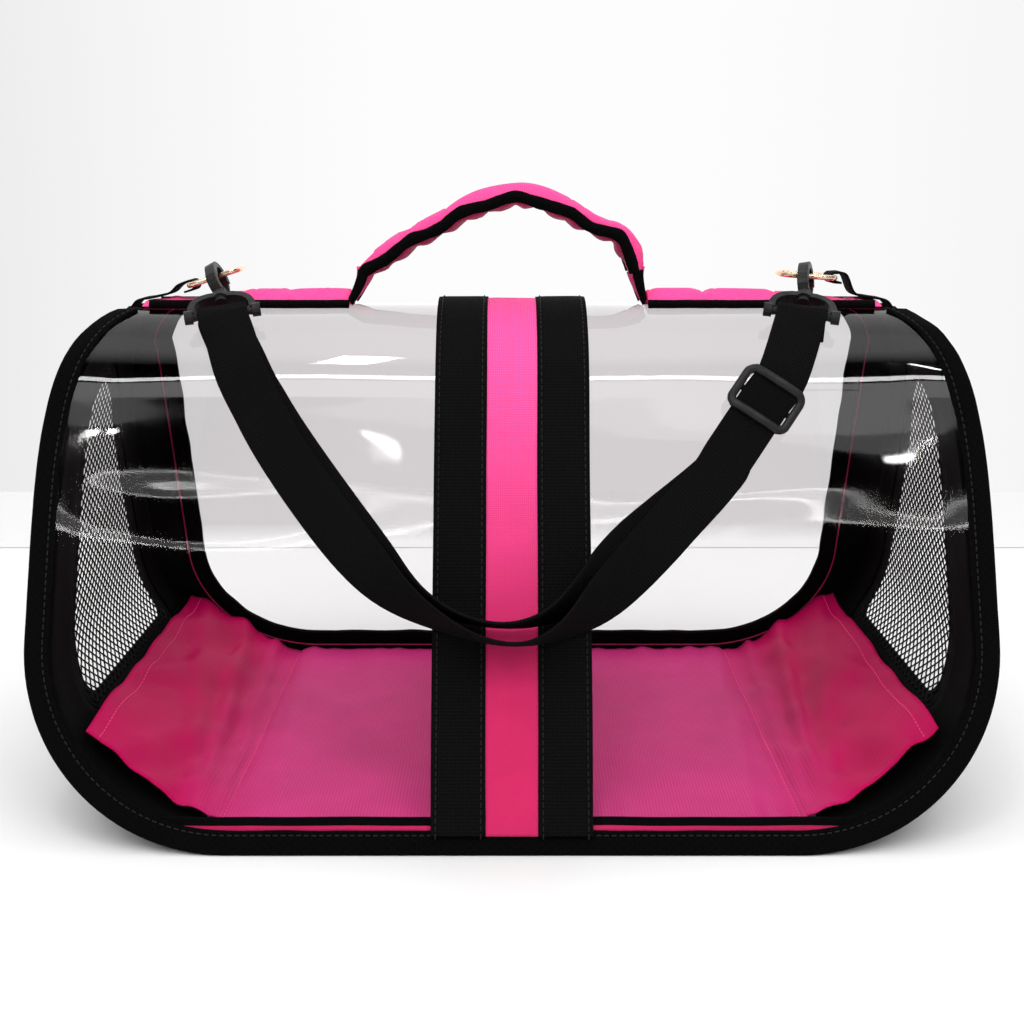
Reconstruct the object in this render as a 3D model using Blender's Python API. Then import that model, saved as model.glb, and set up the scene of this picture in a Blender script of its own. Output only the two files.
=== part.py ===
"""Soft pet carrier bag: clear tunnel-shaped cabin, mesh end doors, ridge handle and clip-on strap.

Metres, +Z up. The origin is on the ground under the middle of the bag and -Y is the front.
The cabin's cross-section (YZ) is a tent: two leaning sides that run into a round ridge. A sheet
of the cabin is laid out in (x, s), where s is the distance along that cross-section from the
ground. "side" is -1 for the front and +1 for the rear.
"""

import bmesh
import bpy
from math import asin, cos, degrees, pi, radians, sin, sqrt
from mathutils import Matrix, Vector

# Driving dimensions
HALF_DEPTH = 0.145            # cross-section at the ground
LEAN = radians(22.7)          # of the front and the rear, from vertical
RIDGE_RADIUS = 0.0635
RIDGE_CENTRE_Z = 0.1815
HALF_LENGTH = 0.234           # outline of the front sheet with its binding
CORNER_RADIUS = 0.100         # lower corners of that outline
BARREL_START, BARREL_DROP, BARREL_POWER = 0.130, 0.344, 3.4
FLANGE = 0.0115               # width of the binding round the seams
GAP = 0.0003
SEAM_GAP = 0.0013             # between a sheet's cut edge and the binding that hides it
FILM = 0.0006
FABRIC = 0.0012
RIM_BOTTOM = 0.0098           # first s above the lower binding
TAPE_FROM, TAPE_TO = 0.0136, 0.0178
FILM_OVER_RIDGE = 0.012       # how far the front sheet runs past the crest
BINDING_STOP = 0.0180         # the seam bindings end this far before the crest, under the ridge strips
WINDOW_HALF, WINDOW_RADIUS, WINDOW_FROM = 0.196, 0.070, 0.0217
WINDOW_TOP_BORDER = 0.016
WEBBING, WEBBING_THICK = 0.025, 0.0016
BAND_PINK = 0.026
MAT_HALF, MAT_FLAP_X, MAT_FLAP_Z = 0.132, 0.2035, 0.052
BASE_TOP = 0.0102
DOOR_BOTTOM = 0.046           # height of the door's fold line
ZIP_INSET = 0.034             # from the seam to the zip's middle
ZIP_HALF = 0.0030
PAD_END, FOOT_LEFT, FOOT_RIGHT = 0.192, -0.0885, 0.0735
PAD_HALF_WIDTH = 0.0135
PAD_HEIGHTS = (0.0080, 0.0078, 0.0072, 0.0042, 0.0028, 0.0016)   # from the handle's foot to the end
EDGING_WIDTH = 0.0030         # of the ridge strips' edging, with its own gap
HANDLE_AXIS_Z = 0.2605
HANDLE_WIDTH, HANDLE_THICK, HANDLE_WALL = 0.027, 0.0115, 0.0014
RING_BAR_X, RING_WIRE = 0.168, 0.0015
RING_TILT = {-1: radians(18), 1: radians(4)}   # left ring, right ring
RING_LENGTH, RING_HALF = 0.028, 0.012
HOOK_X, HOOK_Y, HOOK_Z = 0.1525, -0.012, 0.2605
HOOK_TURN = {-1: radians(-64), 1: radians(-72)}   # of each hook's loop about its own stem
HOOK_LOOP = 0.0064            # radius of the hook's loop, along its middle
LOOP_TOP, LOOP_BOTTOM = 0.0014, 0.0080   # centres of the loop's two bends, down from the ring's wire
HOOK_HALF, GATE_HALF = (0.0027, 0.0017), (0.0026, 0.0008)   # half width and half depth
STEM_RADIUS, STEM_END = 0.0021, 0.0240
COLLAR_RADIUS, COLLAR_END = 0.0036, 0.0178
HEAD_RADIUS, HEAD_START = 0.0034, 0.0222
BAR_DISTANCE, BAR_RADIUS = 0.033, 0.00225
BASE_CROWN, BASE_HALF = 0.0200, (0.0030, 0.0017)
BASE_RAIL, BOSS_RADIUS, BASE_HOLE = 0.0185, 0.0046, 0.0025
KNOB_FROM, KNOB_TO, KNOB_RADIUS = 0.0148, 0.0190, 0.0036
SLIDE_HALF, SLIDE_RAIL, SLIDE_LENGTH = 0.0132, 0.0158, 0.0100   # the adjuster: inside, outside, along the strap
SLIDE_FRONT_LOW, SLIDE_FRONT, SLIDE_BACK = 0.0011, 0.0031, -0.0048   # its bars' faces, off the webbing's middle
SLIDE_BAR, SLIDE_MIDDLE_BAR = 0.0074, 0.0016
KEEPER_THICK, KEEPER_LAP = 0.0012, 0.0150
SLIDER_Z = 0.142              # height of the zip's slider at rest
SLIDER_HALF = (0.0045, 0.0040)
SLIDER_THICK, EAR_HEIGHT, PIN_HEIGHT = 0.0016, 0.0048, 0.0036
PIN_RADIUS, PIN_HOLE, PIN_DOWN = 0.0005, 0.00075, 0.0014
PULL_LENGTH, PULL_TOP, PULL_HALF = 0.0260, 0.0015, (0.0013, 0.0008)

SLOPE_LENGTH = (RIDGE_CENTRE_Z + RIDGE_RADIUS * sin(LEAN)) / cos(LEAN)
CREST = SLOPE_LENGTH + RIDGE_RADIUS * (pi / 2 - LEAN)
CORNER_X = HALF_LENGTH - CORNER_RADIUS

PINK, DEEP_PINK, BLACK = (0.90, 0.06, 0.30), (0.62, 0.03, 0.17), (0.012, 0.012, 0.012)


def clear_scene():
    for old in list(bpy.data.objects):
        bpy.data.objects.remove(old)


def material(name, colour, roughness, metallic=0.0, alpha=1.0):
    made = bpy.data.materials.get(name)
    if made is None:
        made = bpy.data.materials.new(name)
        made.use_nodes = True
        shader = made.node_tree.nodes["Principled BSDF"]
        shader.inputs["Base Color"].default_value = (*colour, 1)
        shader.inputs["Roughness"].default_value = roughness
        shader.inputs["Metallic"].default_value = metallic
        shader.inputs["Alpha"].default_value = alpha
        made.diffuse_color = (*colour, alpha)
    return made


def film_material():
    return material("clear_film", (0.9, 0.9, 0.92), 0.05, alpha=0.2)


def webbing_material():
    return material("black_webbing", BLACK, 0.85)


def panel_material():
    return material("black_fabric", (0.02, 0.02, 0.02), 0.9)


def pink_material():
    return material("pink_fabric", PINK, 0.7)


def satin_material():
    return material("pink_satin", DEEP_PINK, 0.4)


def plastic_material():
    return material("dark_plastic", (0.045, 0.047, 0.047), 0.45)


def metal_material():
    return material("gold_metal", (0.85, 0.62, 0.50), 0.25, metallic=1.0)


def board_material():
    return material("board", (0.35, 0.25, 0.16), 0.8)


def foam_material():
    return material("foam", (0.85, 0.83, 0.78), 0.95)


def make_object(name, mesh, look, origin=(0, 0, 0)):
    """The mesh as an object whose origin is moved to the given point, with its shape in place."""
    mesh.transform(Matrix.Translation(-Vector(origin)))
    mesh.materials.append(look)
    mesh.shade_smooth()
    mesh.set_sharp_from_angle(angle=radians(35))
    made = bpy.data.objects.new(name, mesh)
    made.location = origin
    bpy.context.scene.collection.objects.link(made)
    return made


def mesh_from(name, points, faces):
    mesh = bpy.data.meshes.new(name)
    mesh.from_pydata([tuple(p) for p in points], [], faces)
    shape = bmesh.new()
    shape.from_mesh(mesh)
    bmesh.ops.recalc_face_normals(shape, faces=shape.faces)
    bmesh.ops.triangulate(shape, faces=[f for f in shape.faces if len(f.verts) > 4])
    if shape.calc_volume(signed=True) < 0:
        bmesh.ops.reverse_faces(shape, faces=shape.faces)
    shape.to_mesh(mesh)
    shape.free()
    return mesh


def sweep(name, rings, look, closed=False, origin=(0, 0, 0)):
    """A solid through equal rings of points, capped at both ends or closed on itself."""
    count = len(rings[0])
    points = [p for ring in rings for p in ring]
    faces = []
    for i in range(len(rings) if closed else len(rings) - 1):
        a, b = i * count, (i + 1) % len(rings) * count
        faces += [(a + j, a + (j + 1) % count, b + (j + 1) % count, b + j) for j in range(count)]
    if not closed:
        last = (len(rings) - 1) * count
        faces += [tuple(range(count)), tuple(range(last, last + count))]
    return make_object(name, mesh_from(name, points, faces), look, origin)


def plate(name, upper, lower, look, closed=False, origin=(0, 0, 0)):
    """A sheet solid between two grids of points, rows by columns. Closed joins last row to first."""
    rows, columns = len(upper), len(upper[0])
    points = [p for row in upper for p in row] + [p for row in lower for p in row]
    under = rows * columns
    spans = rows if closed else rows - 1
    faces = []
    for r in range(spans):
        a, b = r * columns, (r + 1) % rows * columns
        for c in range(columns - 1):
            faces.append((a + c, a + c + 1, b + c + 1, b + c))
            faces.append((under + a + c, under + b + c, under + b + c + 1, under + a + c + 1))
        for c in (0, columns - 1):
            faces.append((a + c, b + c, under + b + c, under + a + c))
    if not closed:
        for r in (0, rows - 1):
            a = r * columns
            faces += [(a + c, a + c + 1, under + a + c + 1, under + a + c) for c in range(columns - 1)]
    return make_object(name, mesh_from(name, points, faces), look, origin)


def profile(s):
    """Half-width, height and outward normal of the cross-section at the distance s."""
    if s <= SLOPE_LENGTH:
        return HALF_DEPTH - s * sin(LEAN), s * cos(LEAN), cos(LEAN), sin(LEAN)
    angle = LEAN + (s - SLOPE_LENGTH) / RIDGE_RADIUS
    return (RIDGE_RADIUS * cos(angle), RIDGE_CENTRE_Z + RIDGE_RADIUS * sin(angle), cos(angle), sin(angle))


def on_sheet(x, s, off, side=-1):
    """The point at (x, s) of the front or rear sheet, off outwards from its middle. s may pass the crest."""
    if s > CREST:
        return on_sheet(x, 2 * CREST - s, off, -side)
    y, z, normal_y, normal_z = profile(s)
    height = z + off * normal_z if s > 0 else 0.0
    return Vector((x, side * (y + off * normal_y), height))


def half_height(z):
    """Half-width of the cross-section at a height."""
    if z < SLOPE_LENGTH * cos(LEAN):
        return HALF_DEPTH - z * sin(LEAN) / cos(LEAN)
    return sqrt(max(RIDGE_RADIUS**2 - (z - RIDGE_CENTRE_Z) ** 2, 0))


def half_height_inside(z, inset):
    """Half-width at a height of the cross-section drawn in by inset."""
    radius = RIDGE_RADIUS - inset
    if z < RIDGE_CENTRE_Z + radius * sin(LEAN):
        return HALF_DEPTH - z * sin(LEAN) / cos(LEAN) - inset / cos(LEAN)
    return sqrt(max(radius**2 - (z - RIDGE_CENTRE_Z) ** 2, 0))


def s_at_height(z):
    if z < SLOPE_LENGTH * cos(LEAN):
        return z / cos(LEAN)
    return SLOPE_LENGTH + RIDGE_RADIUS * (asin((z - RIDGE_CENTRE_Z) / RIDGE_RADIUS) - LEAN)


def half_outline(s, inset=0.0):
    """Half-length of the sheet's outline at s, drawn in by inset."""
    if s < CORNER_RADIUS:
        reach = CORNER_RADIUS - inset
        return CORNER_X + sqrt(max(reach**2 - (CORNER_RADIUS - s) ** 2, 0))
    if s < BARREL_START:
        return HALF_LENGTH - inset
    rise = (s - BARREL_START) / (CREST - BARREL_START)
    return HALF_LENGTH * sqrt(1 - BARREL_DROP * rise**BARREL_POWER) - inset


def spread(low, high, count):
    return [low + (high - low) * i / (count - 1) for i in range(count)]


def eased(low, high, count):
    """Values that lie closer together near low."""
    return [low + (high - low) * (i / (count - 1)) ** 1.6 for i in range(count)]


def outline_track(inset, top, corner=9, rise=9):
    """(x, s) points of the outline from the upper left, round the bottom, to the upper right."""
    right = [(0.0, inset)]
    for i in range(corner):
        angle = -pi / 2 + pi / 2 * i / (corner - 1)
        reach = CORNER_RADIUS - inset
        right.append((CORNER_X + reach * cos(angle), CORNER_RADIUS + reach * sin(angle)))
    right += [(half_outline(s, inset), s) for s in spread(BARREL_START, top, rise)]
    left = [(-x, s) for x, s in right[:0:-1]]
    return left + right


def strip_along(name, outer, inner, off_low, off_high, side, look, columns=2):
    """A strip of the sheet between two tracks of (x, s) points."""
    def row(a, b, off):
        return [on_sheet(a[0] + (b[0] - a[0]) * t, a[1] + (b[1] - a[1]) * t, off, side)
                for t in spread(0, 1, columns)]
    upper = [row(a, b, off_high) for a, b in zip(outer, inner)]
    lower = [row(a, b, off_low) for a, b in zip(outer, inner)]
    return plate(name, upper, lower, look)


def sheet_rows(rows, width_at, off, side, columns):
    return [[on_sheet(t * width_at(s), s, off, side) for t in spread(-1, 1, columns)] for s in rows]


# The cabin's shell

def front_film():
    rows = eased(TAPE_TO + GAP, 0.1, 8) + spread(BARREL_START, CREST - BINDING_STOP, 9)
    rows += spread(CREST - 0.008, CREST + FILM_OVER_RIDGE, 5)

    def width(s):
        return half_outline(min(s, 2 * CREST - s), FLANGE + SEAM_GAP)

    plate("front_film", sheet_rows(rows, width, FILM, -1, 17), sheet_rows(rows, width, 0, -1, 17),
          film_material())


def window_half(s, inset=0.0):
    limit = min(WINDOW_HALF, half_outline(s, FLANGE) - WINDOW_TOP_BORDER) - inset
    centre = WINDOW_FROM + WINDOW_RADIUS
    if s >= centre:
        return limit
    reach = WINDOW_RADIUS - inset
    return WINDOW_HALF - WINDOW_RADIUS + sqrt(max(reach**2 - (centre - s) ** 2, 0))


def window_track(inset, top, corner=9, rise=9):
    """The window's outline, with as many points as outline_track gives."""
    centre = WINDOW_FROM + WINDOW_RADIUS
    right = [(0.0, WINDOW_FROM + inset)]
    for i in range(corner):
        angle = -pi / 2 + pi / 2 * i / (corner - 1)
        reach = WINDOW_RADIUS - inset
        right.append((WINDOW_HALF - WINDOW_RADIUS + reach * cos(angle), centre + reach * sin(angle)))
    right += [(window_half(s, inset), s) for s in spread(BARREL_START, top, rise)]
    left = [(-x, s) for x, s in right[:0:-1]]
    return left + right


def rear_window():
    top = CREST - FILM_OVER_RIDGE - GAP
    binding_top = CREST - BINDING_STOP
    rows = eased(WINDOW_FROM + SEAM_GAP, WINDOW_FROM + WINDOW_RADIUS, 8)
    rows += spread(BARREL_START, binding_top, 9) + [top]

    def width(s):
        return window_half(s, SEAM_GAP)

    plate("rear_film", sheet_rows(rows, width, FILM, 1, 15), sheet_rows(rows, width, 0, 1, 15),
          film_material())
    strip_along("rear_border", outline_track(FLANGE + SEAM_GAP, top), window_track(0.0, top), -GAP, FILM, 1,
                panel_material(), columns=3)
    strip_along("rear_window_binding", window_track(-0.0035, binding_top), window_track(0.0045, binding_top),
                FILM + 2 * GAP, FILM + 2 * GAP + FABRIC, 1, webbing_material())


def seam_bindings():
    top = CREST - BINDING_STOP
    for name, side in (("front_binding", -1), ("rear_binding", 1)):
        strip_along(name, outline_track(0.0, top), outline_track(FLANGE, top), -0.0012, 0.0018, side,
                    webbing_material())


def front_hem():
    """The tape on the front sheet's lower edge and the pink strip under it."""
    for name, low, high, look in (
        ("front_edge_tape", TAPE_FROM, TAPE_TO, webbing_material()),
        ("front_base_strip", RIM_BOTTOM + 0.0022, TAPE_FROM - GAP, pink_material()),
    ):
        rows = [low, high]

        def width(s):
            return half_outline(s, FLANGE + GAP) - 0.001

        plate(name, sheet_rows(rows, width, 0.0010, -1, 13), sheet_rows(rows, width, -0.0004, -1, 13), look)


def gusset(tau, across, off=0.0):
    """A point of an end panel: tau is the height on its seam's side view, across is along Y."""
    s = s_at_height(tau)
    here, above = half_outline(s, FLANGE), half_outline(s_at_height(tau + 1e-4), FLANGE)
    slope = Vector((1e-4, 0, here - above)).normalized()
    return Vector((here, across, tau)) + slope * off


def arch_track(inset, low, corner_radius, sides=7, top=9):
    """(y, z) of an arch parallel to the cross-section: up the front leg, over, down the rear leg."""
    radius = RIDGE_RADIUS - inset

    def leg(z):
        return half_height_line(z) - inset / cos(LEAN)

    foot_z = low + corner_radius
    track = [(leg(z), z) for z in spread(foot_z, RIDGE_CENTRE_Z + radius * sin(LEAN), sides)]
    for i in range(1, top):
        angle = LEAN + (pi / 2 - LEAN) * i / (top - 1)
        track.append((radius * cos(angle), RIDGE_CENTRE_Z + radius * sin(angle)))
    foot_y = leg(foot_z)
    centre = (foot_y - corner_radius, foot_z)
    bend = [(centre[0] + corner_radius * cos(a), centre[1] + corner_radius * sin(a))
            for a in spread(-pi / 2, -pi / 10, 4)]
    half = [(0.0, low), (centre[0] / 2, low)] + bend + track
    front = [(-y, z) for y, z in half]
    rear = [(y, z) for y, z in half[1:-1]]
    return front + rear[::-1]


def half_height_line(z):
    return HALF_DEPTH - z * sin(LEAN) / cos(LEAN)


def panel_rim(track):
    """The seam's points (y, z) that face each point of an arch track."""
    low, crest_z = BASE_TOP + 0.0012, RIDGE_CENTRE_Z + RIDGE_RADIUS - 0.0035
    rim = []
    arch_low = min(z for _, z in track)
    arch_high = max(z for _, z in track)
    for y, z in track:
        if z < arch_low + 0.0005:
            height = low
            reach = half_height(low) - FLANGE * 0.4
            foot = max(abs(p[0]) for p in track if p[1] < arch_low + 0.0005)
            rim.append((reach * y / foot * 0.94, height))
            continue
        share = (z - arch_low) / (arch_high - arch_low)
        height = low + (crest_z - low) * share
        width = half_height_inside(height, 0.0024)
        if abs(y) < 1e-9:
            width = 0.0
        rim.append((width if y > 0 else -width, height))
    return rim


def end_solids(hand, suffix):
    """One end: panel with its arch, the zip's fixed half, the mesh door and the door's half of the zip."""
    def place(y, z, off):
        point = gusset(z, y, off)
        return Vector((hand * point.x, point.y, point.z))

    def strip(name, outer, inner, low, high, look, columns=2):
        def row(a, b, off):
            return [place(a[0] + (b[0] - a[0]) * t, a[1] + (b[1] - a[1]) * t, off)
                    for t in spread(0, 1, columns)]
        upper = [row(a, b, high) for a, b in zip(outer, inner)]
        lower = [row(a, b, low) for a, b in zip(outer, inner)]
        return plate(name, upper, lower, look, closed=True)

    middle = ZIP_INSET
    panel_edge = arch_track(middle - ZIP_HALF - 0.0015, DOOR_BOTTOM - 0.006, 0.016)
    fixed_edge = arch_track(middle - 0.0003, DOOR_BOTTOM - 0.0015, 0.013)
    door_edge = arch_track(middle + 0.0002, DOOR_BOTTOM, 0.012)
    mesh_edge = arch_track(middle + ZIP_HALF + 0.0015, DOOR_BOTTOM + 0.006, 0.010)
    panel_inner = arch_track(middle - ZIP_HALF - 0.0018, DOOR_BOTTOM - 0.0063, 0.0163)
    mesh_outer = arch_track(middle + ZIP_HALF + 0.0018, DOOR_BOTTOM + 0.0063, 0.0097)
    rim = panel_rim(panel_inner)
    strip("end_panel_" + suffix, rim, panel_inner, -FABRIC, 0.0, panel_material(), columns=6)
    strip("zip_track_" + suffix, panel_edge, fixed_edge, -FABRIC, 0.0006, webbing_material())
    strip("door_tape_" + suffix, door_edge, mesh_edge, -FABRIC, 0.0006, webbing_material())
    door_mesh("door_mesh_" + suffix, mesh_outer, place)


def door_mesh(name, edge, place):
    """The door's mesh: rungs from the front edge to the rear edge, one for each height of the edge."""
    count = len(edge)
    half = count // 2
    rungs = [(edge[i], edge[(count - i) % count]) for i in range(1, half)]
    columns = 5

    def row(front, rear, off):
        return [place(front[0] + (rear[0] - front[0]) * t, front[1], off) for t in spread(0, 1, columns)]

    upper = [row(a, b, 0.0) for a, b in rungs]
    lower = [row(a, b, -FABRIC) for a, b in rungs]
    plate(name, upper, lower, mesh_material())


def mesh_material():
    return material("black_mesh", (0.03, 0.03, 0.03), 0.8)


def box(name, low, high, look, origin=(0, 0, 0)):
    (x0, y0, z0), (x1, y1, z1) = low, high
    rings = [[(x, y0, z0), (x, y1, z0), (x, y1, z1), (x, y0, z1)] for x in (x0, x1)]
    return sweep(name, rings, look, origin=origin)


def base_layers():
    """Base cover, board and foam under the mat."""
    edge = 0.1395
    for name, z0, z1, look, drawn_in in (
        ("base_cover", 0.0, 0.0012, panel_material(), 0.0),
        ("base_board", 0.0015, 0.0052, board_material(), 0.002),
        ("base_foam", 0.0055, BASE_TOP - GAP, foam_material(), 0.004),
    ):
        depth = edge - drawn_in - z1 * 0.42
        box(name, (-MAT_HALF + drawn_in, -depth, z0), (MAT_HALF - drawn_in, depth, z1), look)


def floor_mat():
    """Lining over the foam, with a flap that rises at each end."""
    low, fold_x, fold_z = BASE_TOP + 0.0014, 0.152, 0.0158
    bend = [(0.0, low), (0.137, low), (0.146, low + 0.0016), (fold_x, fold_z)]
    bend += [(fold_x + (MAT_FLAP_X - fold_x) * t, fold_z + (MAT_FLAP_Z - fold_z) * t**1.1)
             for t in spread(0.2, 1, 5)]
    line = [(-x, z) for x, z in bend[:0:-1]] + bend

    def row(x, z, lift):
        reach = half_height_line(z) - 0.0052
        return [(x, reach * t, z + lift) for t in spread(-1, 1, 5)]

    plate("floor_mat", [row(x, z, 0.0014) for x, z in line], [row(x, z, 0.0) for x, z in line],
          satin_material())


# Band, ridge and handle

def centre_band():
    start = RIM_BOTTOM
    stations = [start] + spread(0.03, SLOPE_LENGTH, 5)
    stations += spread(SLOPE_LENGTH + 0.0125, 2 * CREST - SLOPE_LENGTH - 0.0125, 11)
    stations += [2 * CREST - s for s in spread(0.03, SLOPE_LENGTH, 5)[::-1]] + [2 * CREST - start]
    half_pink = BAND_PINK / 2
    edge = half_pink + WEBBING
    for name, x0, x1, look in (
        ("band_webbing_left", -edge, -half_pink - GAP, webbing_material()),
        ("band_pink", -half_pink, half_pink, pink_material()),
        ("band_webbing_right", half_pink + GAP, edge, webbing_material()),
    ):
        low, high = 0.0029, 0.0043
        rings = [[on_sheet(x0, s, low), on_sheet(x1, s, low), on_sheet(x1, s, high), on_sheet(x0, s, high)]
                 for s in stations]
        sweep(name, rings, look)


def ridge_strips():
    """Padded strips along the ridge on both sides of the handle, with edging front and rear."""
    bottom = RIDGE_RADIUS + FILM + 0.0005

    def ring(x, height):
        under = []
        for y in spread(-PAD_HALF_WIDTH, PAD_HALF_WIDTH, 5):
            under.append((x, y, RIDGE_CENTRE_Z + sqrt(bottom**2 - y * y)))
        over = []
        for y in spread(PAD_HALF_WIDTH, -PAD_HALF_WIDTH, 7):
            crown = sqrt(1 - 0.85 * (y / PAD_HALF_WIDTH) ** 2)
            over.append((x, y, RIDGE_CENTRE_Z + sqrt(bottom**2 - y * y) + height * crown))
        return under + over

    for suffix, hand, foot in (("left", -1, abs(FOOT_LEFT)), ("right", 1, FOOT_RIGHT)):
        stations = [(foot, PAD_HEIGHTS[0]), (foot + 0.03, PAD_HEIGHTS[1])]
        stations += list(zip((0.140, 0.158, 0.178, PAD_END), PAD_HEIGHTS[2:]))
        sweep("ridge_pad_" + suffix, [ring(hand * x, h) for x, h in stations], pink_material())
        for place_name, side in (("front", -1), ("rear", 1)):
            y0, y1 = PAD_HALF_WIDTH + GAP, PAD_HALF_WIDTH + EDGING_WIDTH
            rings = []
            for x in spread(foot, PAD_END - 0.004, 6):
                ring_points = []
                for y, lift in ((y0, 0.0), (y1, 0.0), (y1, 0.0026), (y0, 0.0034)):
                    ring_points.append((hand * x, side * y, RIDGE_CENTRE_Z + sqrt(bottom**2 - y * y) + lift))
                rings.append(ring_points)
            sweep(f"ridge_edging_{place_name}_{suffix}", rings, webbing_material())


# Middle line of the handle, from the left foot over to the right foot: (x, z)
HANDLE_ROUTE = ((-0.0772, 0.2625), (-0.0735, 0.2655), (-0.0640, 0.2725), (-0.0545, 0.2780),
                (-0.0350, 0.2885), (-0.0155, 0.2978), (0.0040, 0.3012), (0.0160, 0.2993), (0.0290, 0.2935),
                (0.0430, 0.2868), (0.0550, 0.2815), (0.0610, 0.2745), (0.0638, 0.2685), (0.0650, 0.2625))


def smooth_line(points, count):
    """Points evenly spaced on a Catmull-Rom curve through the given ones."""
    points = [Vector(p) for p in points]
    fine = []
    for i in range(len(points) - 1):
        p0, p1, p2, p3 = points[max(i - 1, 0)], points[i], points[i + 1], points[min(i + 2, len(points) - 1)]
        for step in range(12):
            t = step / 12
            fine.append(0.5 * (2 * p1 + (p2 - p0) * t + (2 * p0 - 5 * p1 + 4 * p2 - p3) * t**2
                               + (3 * p1 - p0 - 3 * p2 + p3) * t**3))
    fine.append(points[-1])
    lengths = [0.0]
    for a, b in zip(fine, fine[1:]):
        lengths.append(lengths[-1] + (b - a).length)
    even, at = [], 0
    for i in range(count):
        target = lengths[-1] * i / (count - 1)
        while at < len(fine) - 2 and lengths[at + 1] < target:
            at += 1
        share = (target - lengths[at]) / max(lengths[at + 1] - lengths[at], 1e-9)
        even.append(fine[at].lerp(fine[at + 1], share))
    return even


def handle_frames(count=27):
    """Point and outward normal along the handle. Both ends are level with the hinge."""
    line = smooth_line([(x, 0, z) for x, z in HANDLE_ROUTE], count)
    frames = []
    for i, point in enumerate(line):
        along = (line[min(i + 1, count - 1)] - line[max(i - 1, 0)]).normalized()
        ends = min(i, count - 1 - i) / 4
        if ends < 1:
            upright = Vector((0, 0, 1 if i < count / 2 else -1))
            along = (upright * (1 - ends) + along * ends).normalized()
        frames.append((point, Vector((-along.z, 0, along.x))))
    return frames


def handle():
    frames = handle_frames()
    hinge = ((FOOT_LEFT + FOOT_RIGHT) / 2, 0, HANDLE_AXIS_Z)
    half, thick = HANDLE_WIDTH / 2, HANDLE_THICK / 2

    def loop(half_y, half_t, corner):
        return [(-half_y, -half_t + corner), (-half_y + corner, -half_t), (half_y - corner, -half_t),
                (half_y, -half_t + corner), (half_y, half_t - corner), (half_y - corner, half_t),
                (-half_y + corner, half_t), (-half_y, half_t - corner)]

    def ring(point, normal, section):
        return [point + Vector((0, y, 0)) + normal * t for y, t in section]

    outer = loop(half, thick, 0.003)
    inner = loop(half - HANDLE_WALL, thick - HANDLE_WALL, 0.002)
    core = loop(half - HANDLE_WALL - GAP, thick - HANDLE_WALL - GAP, 0.002)
    shell_rows = [[ring(p, n, outer)[j] for p, n in frames] for j in range(8)]
    lining = [[ring(p, n, inner)[j] for p, n in frames] for j in range(8)]
    plate("handle_cover", shell_rows, lining, pink_material(), closed=True, origin=hinge)
    sweep("handle_core", [ring(p, n, core) for p, n in frames[1:-1]], foam_material(), origin=hinge)
    for name, side in (("handle_edging_front", -1), ("handle_edging_rear", 1)):
        section = [(side * y, t) for y, t in ((half + GAP, -0.0055), (half + 0.0022, -0.0045),
                                              (half + 0.0022, 0.0020), (half + GAP, 0.0030))]
        sweep(name, [ring(p, n, section) for p, n in frames], webbing_material(), origin=hinge)
    for suffix, x0, x1 in (("left", FOOT_LEFT + 0.006, FOOT_LEFT + 0.016),
                           ("right", FOOT_RIGHT - 0.0135, FOOT_RIGHT - 0.0035)):
        bottom = RIDGE_CENTRE_Z + RIDGE_RADIUS + FILM + 0.0005
        box("handle_tab_" + suffix, (x0, -0.0012, bottom), (x1, 0.0012, HANDLE_AXIS_Z + 0.0008),
            webbing_material())


# Strap fittings

def tube_ring(centre, across, up, radius, sides=10):
    return [centre + across * radius * cos(2 * pi * k / sides) + up * radius * sin(2 * pi * k / sides)
            for k in range(sides)]


def rounded_rectangle(u0, u1, half, r_near, r_far, steps=4):
    """(u, v) round a rectangle with different corner radii at its two ends."""
    corners = (((u1 - r_far, half - r_far), r_far, 0), ((u0 + r_near, half - r_near), r_near, pi / 2),
               ((u0 + r_near, -half + r_near), r_near, pi), ((u1 - r_far, -half + r_far), r_far, 3 * pi / 2))
    track = []
    for (cu, cv), radius, start in corners:
        for a in spread(start, start + pi / 2, steps):
            track.append((cu + radius * cos(a), cv + radius * sin(a)))
    return track


def ring_frame(hand):
    """Bar's middle and the ring's own directions: inwards and up."""
    tilt = RING_TILT[hand]
    bar_z = HOOK_Z - (RING_BAR_X - HOOK_X) * sin(tilt) / cos(tilt)
    inwards = Vector((-hand * cos(tilt), 0, sin(tilt)))
    up = Vector((hand * sin(tilt), 0, cos(tilt)))
    return Vector((hand * RING_BAR_X, 0, bar_z)), inwards, up


def d_ring(hand, suffix):
    bar, inwards, up = ring_frame(hand)
    track = rounded_rectangle(0.0, RING_LENGTH, RING_HALF, 0.003, 0.0065)
    points = [bar + inwards * u + Vector((0, v, 0)) for u, v in track]
    rings = []
    for i, point in enumerate(points):
        along = (points[(i + 1) % len(points)] - points[i - 1]).normalized()
        rings.append(tube_ring(point, along.cross(up).normalized(), up, RING_WIRE, 8))
    sweep("d_ring_" + suffix, rings, metal_material(), closed=True, origin=bar)


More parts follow.
